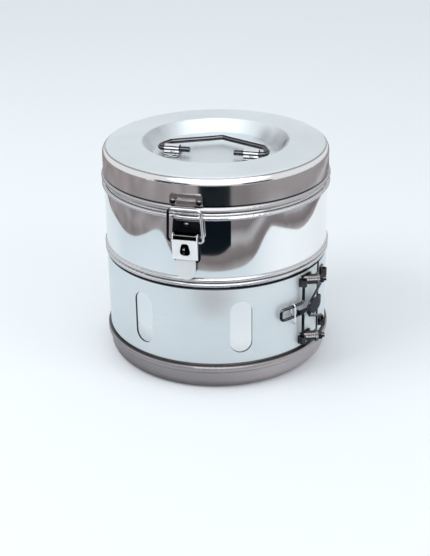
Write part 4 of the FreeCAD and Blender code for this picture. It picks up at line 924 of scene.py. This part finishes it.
# %% Geometry Nodes: a row of rings along an axis
def new_geometry_tree(name, inputs):
    """Start a Geometry Nodes tree with number inputs, and give its group nodes."""
    tree = bpy.data.node_groups.new(name, "GeometryNodeTree")
    tree.interface.new_socket("Geometry", in_out="INPUT", socket_type="NodeSocketGeometry")
    for label, kind in inputs:
        tree.interface.new_socket(label, in_out="INPUT", socket_type=kind)
    tree.interface.new_socket("Material", in_out="INPUT", socket_type="NodeSocketMaterial")
    tree.interface.new_socket("Geometry", in_out="OUTPUT", socket_type="NodeSocketGeometry")
    return tree, tree.nodes.new("NodeGroupInput"), tree.nodes.new("NodeGroupOutput")


def end_tree(tree, given, out, instances):
    """Real geometry with its material, as the last steps of a tree."""
    real = tree.nodes.new("GeometryNodeRealizeInstances")
    tree.links.new(instances, real.inputs[0])
    paint = tree.nodes.new("GeometryNodeSetMaterial")
    tree.links.new(real.outputs[0], paint.inputs["Geometry"])
    tree.links.new(given.outputs["Material"], paint.inputs["Material"])
    tree.links.new(paint.outputs[0], out.inputs[0])


def ring_row_tree():
    """Rings of round wire in a row along Z, starting at the origin."""
    tree, given, out = new_geometry_tree("ring row", [
        ("Radius", "NodeSocketFloat"), ("Wire", "NodeSocketFloat"), ("Pitch", "NodeSocketFloat"),
        ("Count", "NodeSocketInt")])
    circle = tree.nodes.new("GeometryNodeCurvePrimitiveCircle")
    circle.inputs["Resolution"].default_value = 32
    tree.links.new(given.outputs["Radius"], circle.inputs["Radius"])
    profile = tree.nodes.new("GeometryNodeCurvePrimitiveCircle")
    profile.inputs["Resolution"].default_value = 8
    tree.links.new(given.outputs["Wire"], profile.inputs["Radius"])
    wire = tree.nodes.new("GeometryNodeCurveToMesh")
    tree.links.new(circle.outputs[0], wire.inputs["Curve"])
    tree.links.new(profile.outputs[0], wire.inputs["Profile Curve"])
    step = tree.nodes.new("ShaderNodeCombineXYZ")
    tree.links.new(given.outputs["Pitch"], step.inputs[2])
    row = tree.nodes.new("GeometryNodeMeshLine")
    tree.links.new(given.outputs["Count"], row.inputs["Count"])
    tree.links.new(step.outputs[0], row.inputs["Offset"])
    placed = tree.nodes.new("GeometryNodeInstanceOnPoints")
    tree.links.new(row.outputs[0], placed.inputs["Points"])
    tree.links.new(wire.outputs[0], placed.inputs["Instance"])
    end_tree(tree, given, out, placed.outputs[0])
    return tree


RING_ROW = ring_row_tree()
print("tree:", RING_ROW.name)

# %% [markdown]
# Knurling is cut as straight ribs along a collar. Here a circle of points carries one slim
# rod each: the count, the radius and the rod's size are inputs, so that another collar needs
# only other numbers.

# %% Geometry Nodes: ribs around an axis
def rib_collar_tree():
    """Straight ribs around Z, each a slim rod lying along the axis."""
    tree, given, out = new_geometry_tree("rib collar", [
        ("Radius", "NodeSocketFloat"), ("Rib", "NodeSocketFloat"), ("Length", "NodeSocketFloat"),
        ("Count", "NodeSocketInt")])
    around_axis = tree.nodes.new("GeometryNodeMeshCircle")
    tree.links.new(given.outputs["Count"], around_axis.inputs["Vertices"])
    tree.links.new(given.outputs["Radius"], around_axis.inputs["Radius"])
    rod = tree.nodes.new("GeometryNodeMeshCylinder")
    rod.inputs["Vertices"].default_value = 8
    tree.links.new(given.outputs["Rib"], rod.inputs["Radius"])
    tree.links.new(given.outputs["Length"], rod.inputs["Depth"])
    placed = tree.nodes.new("GeometryNodeInstanceOnPoints")
    tree.links.new(around_axis.outputs[0], placed.inputs["Points"])
    tree.links.new(rod.outputs[0], placed.inputs["Instance"])
    end_tree(tree, given, out, placed.outputs[0])
    return tree


RIB_COLLAR = rib_collar_tree()
print("tree:", RIB_COLLAR.name)

# %% [markdown]
# A tree lives in a modifier, and each piece here is wanted as a plain mesh. So the tree runs
# on an empty seed object, its result is copied as a mesh, and the seed goes away again.
# Several such meshes, each moved to its place, are joined into one piece that rides on one body.

# %% From a tree to a plain mesh in its place
def grown(tree, values):
    """The mesh that a tree makes with these values."""
    seed = bpy.data.objects.new("seed", bpy.data.meshes.new("seed"))
    bpy.context.scene.collection.objects.link(seed)
    modifier = seed.modifiers.new("tree", "NODES")
    modifier.node_group = tree
    for item in tree.interface.items_tree:
        if item.in_out == "INPUT" and item.name in values:
            modifier[item.identifier] = values[item.name]
    bpy.context.view_layer.update()
    mesh = bpy.data.meshes.new_from_object(seed.evaluated_get(bpy.context.evaluated_depsgraph_get()))
    seed.modifiers.remove(modifier)
    bpy.data.objects.remove(seed)
    return mesh


def along(start, direction):
    """The matrix that takes the Z axis to a line from start in a direction."""
    return Matrix.Translation(start) @ Vector(direction).to_track_quat("Z", "Y").to_matrix().to_4x4()


def piece_from(name, parts, body):
    """One plain mesh at the origin from several (tree, values, matrix), riding on a body."""
    joined = bmesh.new()
    for tree, values, matrix in parts:
        mesh = grown(tree, values)
        mesh.transform(matrix)
        joined.from_mesh(mesh)
    final = bpy.data.meshes.new(name)
    joined.to_mesh(final)
    joined.free()
    final.materials.append(parts[0][1]["Material"])
    for face in final.polygons:
        face.use_smooth = True
        face.material_index = 0
    piece = bpy.data.objects.new(name, final)
    bpy.context.scene.collection.objects.link(piece)
    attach(piece, body)
    print("%s: %d faces on %s" % (name, len(final.polygons), body))


print("trees to grow from:", RING_ROW.name, "and", RIB_COLLAR.name)

# %% [markdown]
# The handle's two ends lie along X at the height of its pivot. Each thread starts a little
# way along the wire from its end and goes on towards the lug, with as many turns as fit.

# %% Thread on the handle
handle_low, handle_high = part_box("handle")
LUG_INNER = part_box("handle_lug_right")[0][0]
HANDLE_END = 0.0210
HANDLE_WIRE = 0.0024
PIVOT_LEVEL = (handle_low[2] + handle_high[2]) / 2
PIVOT_BACK = -0.0146
THREAD_PITCH = 0.0012
THREAD_INSET = 0.0006
THREAD_SPARE = 0.0010
thread_count = int((LUG_INNER - HANDLE_END - THREAD_SPARE) / THREAD_PITCH)
thread = {"Radius": HANDLE_WIRE, "Wire": 0.0003, "Pitch": THREAD_PITCH, "Count": thread_count,
          "Material": grip_wire}
thread_start = HANDLE_END + THREAD_INSET
piece_from("handle_thread", [
    (RING_ROW, thread, along((side * thread_start, PIVOT_BACK, PIVOT_LEVEL), (side, 0, 0)))
    for side in (-1, 1)], "handle")

# %% [markdown]
# The clamp's barrels are turned, so each has four shallow grooves near the band, and the
# collar at its outer end is knurled for the fingers. The barrels point out along one azimuth
# at two heights, so their axes follow from the place and heading of the posts.

# %% Grooves and knurling on the clamp
POST_HEADING = math.radians(110.0)
POST_ASIDE = -0.0762
POST_LEVELS = (0.0343, 0.0925)
outwards = Vector((math.sin(POST_HEADING), -math.cos(POST_HEADING), 0.0))
sideways = Vector((math.cos(POST_HEADING), math.sin(POST_HEADING), 0.0))


def on_post(distance, height):
    """A point on a barrel's axis, by its distance along the heading."""
    return sideways * POST_ASIDE + outwards * distance + Vector((0.0, 0.0, height))


GROOVE_START, COLLAR_MIDDLE = 0.0760, 0.0841
grooves = {"Radius": 0.0046, "Wire": 0.00035, "Pitch": 0.0016, "Count": 4, "Material": post_plate}
piece_from("barrel_grooves", [(RING_ROW, grooves, along(on_post(GROOVE_START, height), outwards))
                              for height in POST_LEVELS], "band")
knurl = {"Radius": 0.0056, "Rib": 0.0003, "Length": 0.0022, "Count": 28, "Material": post_plate}
piece_from("collar_knurling", [(RIB_COLLAR, knurl, along(on_post(COLLAR_MIDDLE, height), outwards))
                               for height in POST_LEVELS], "band")
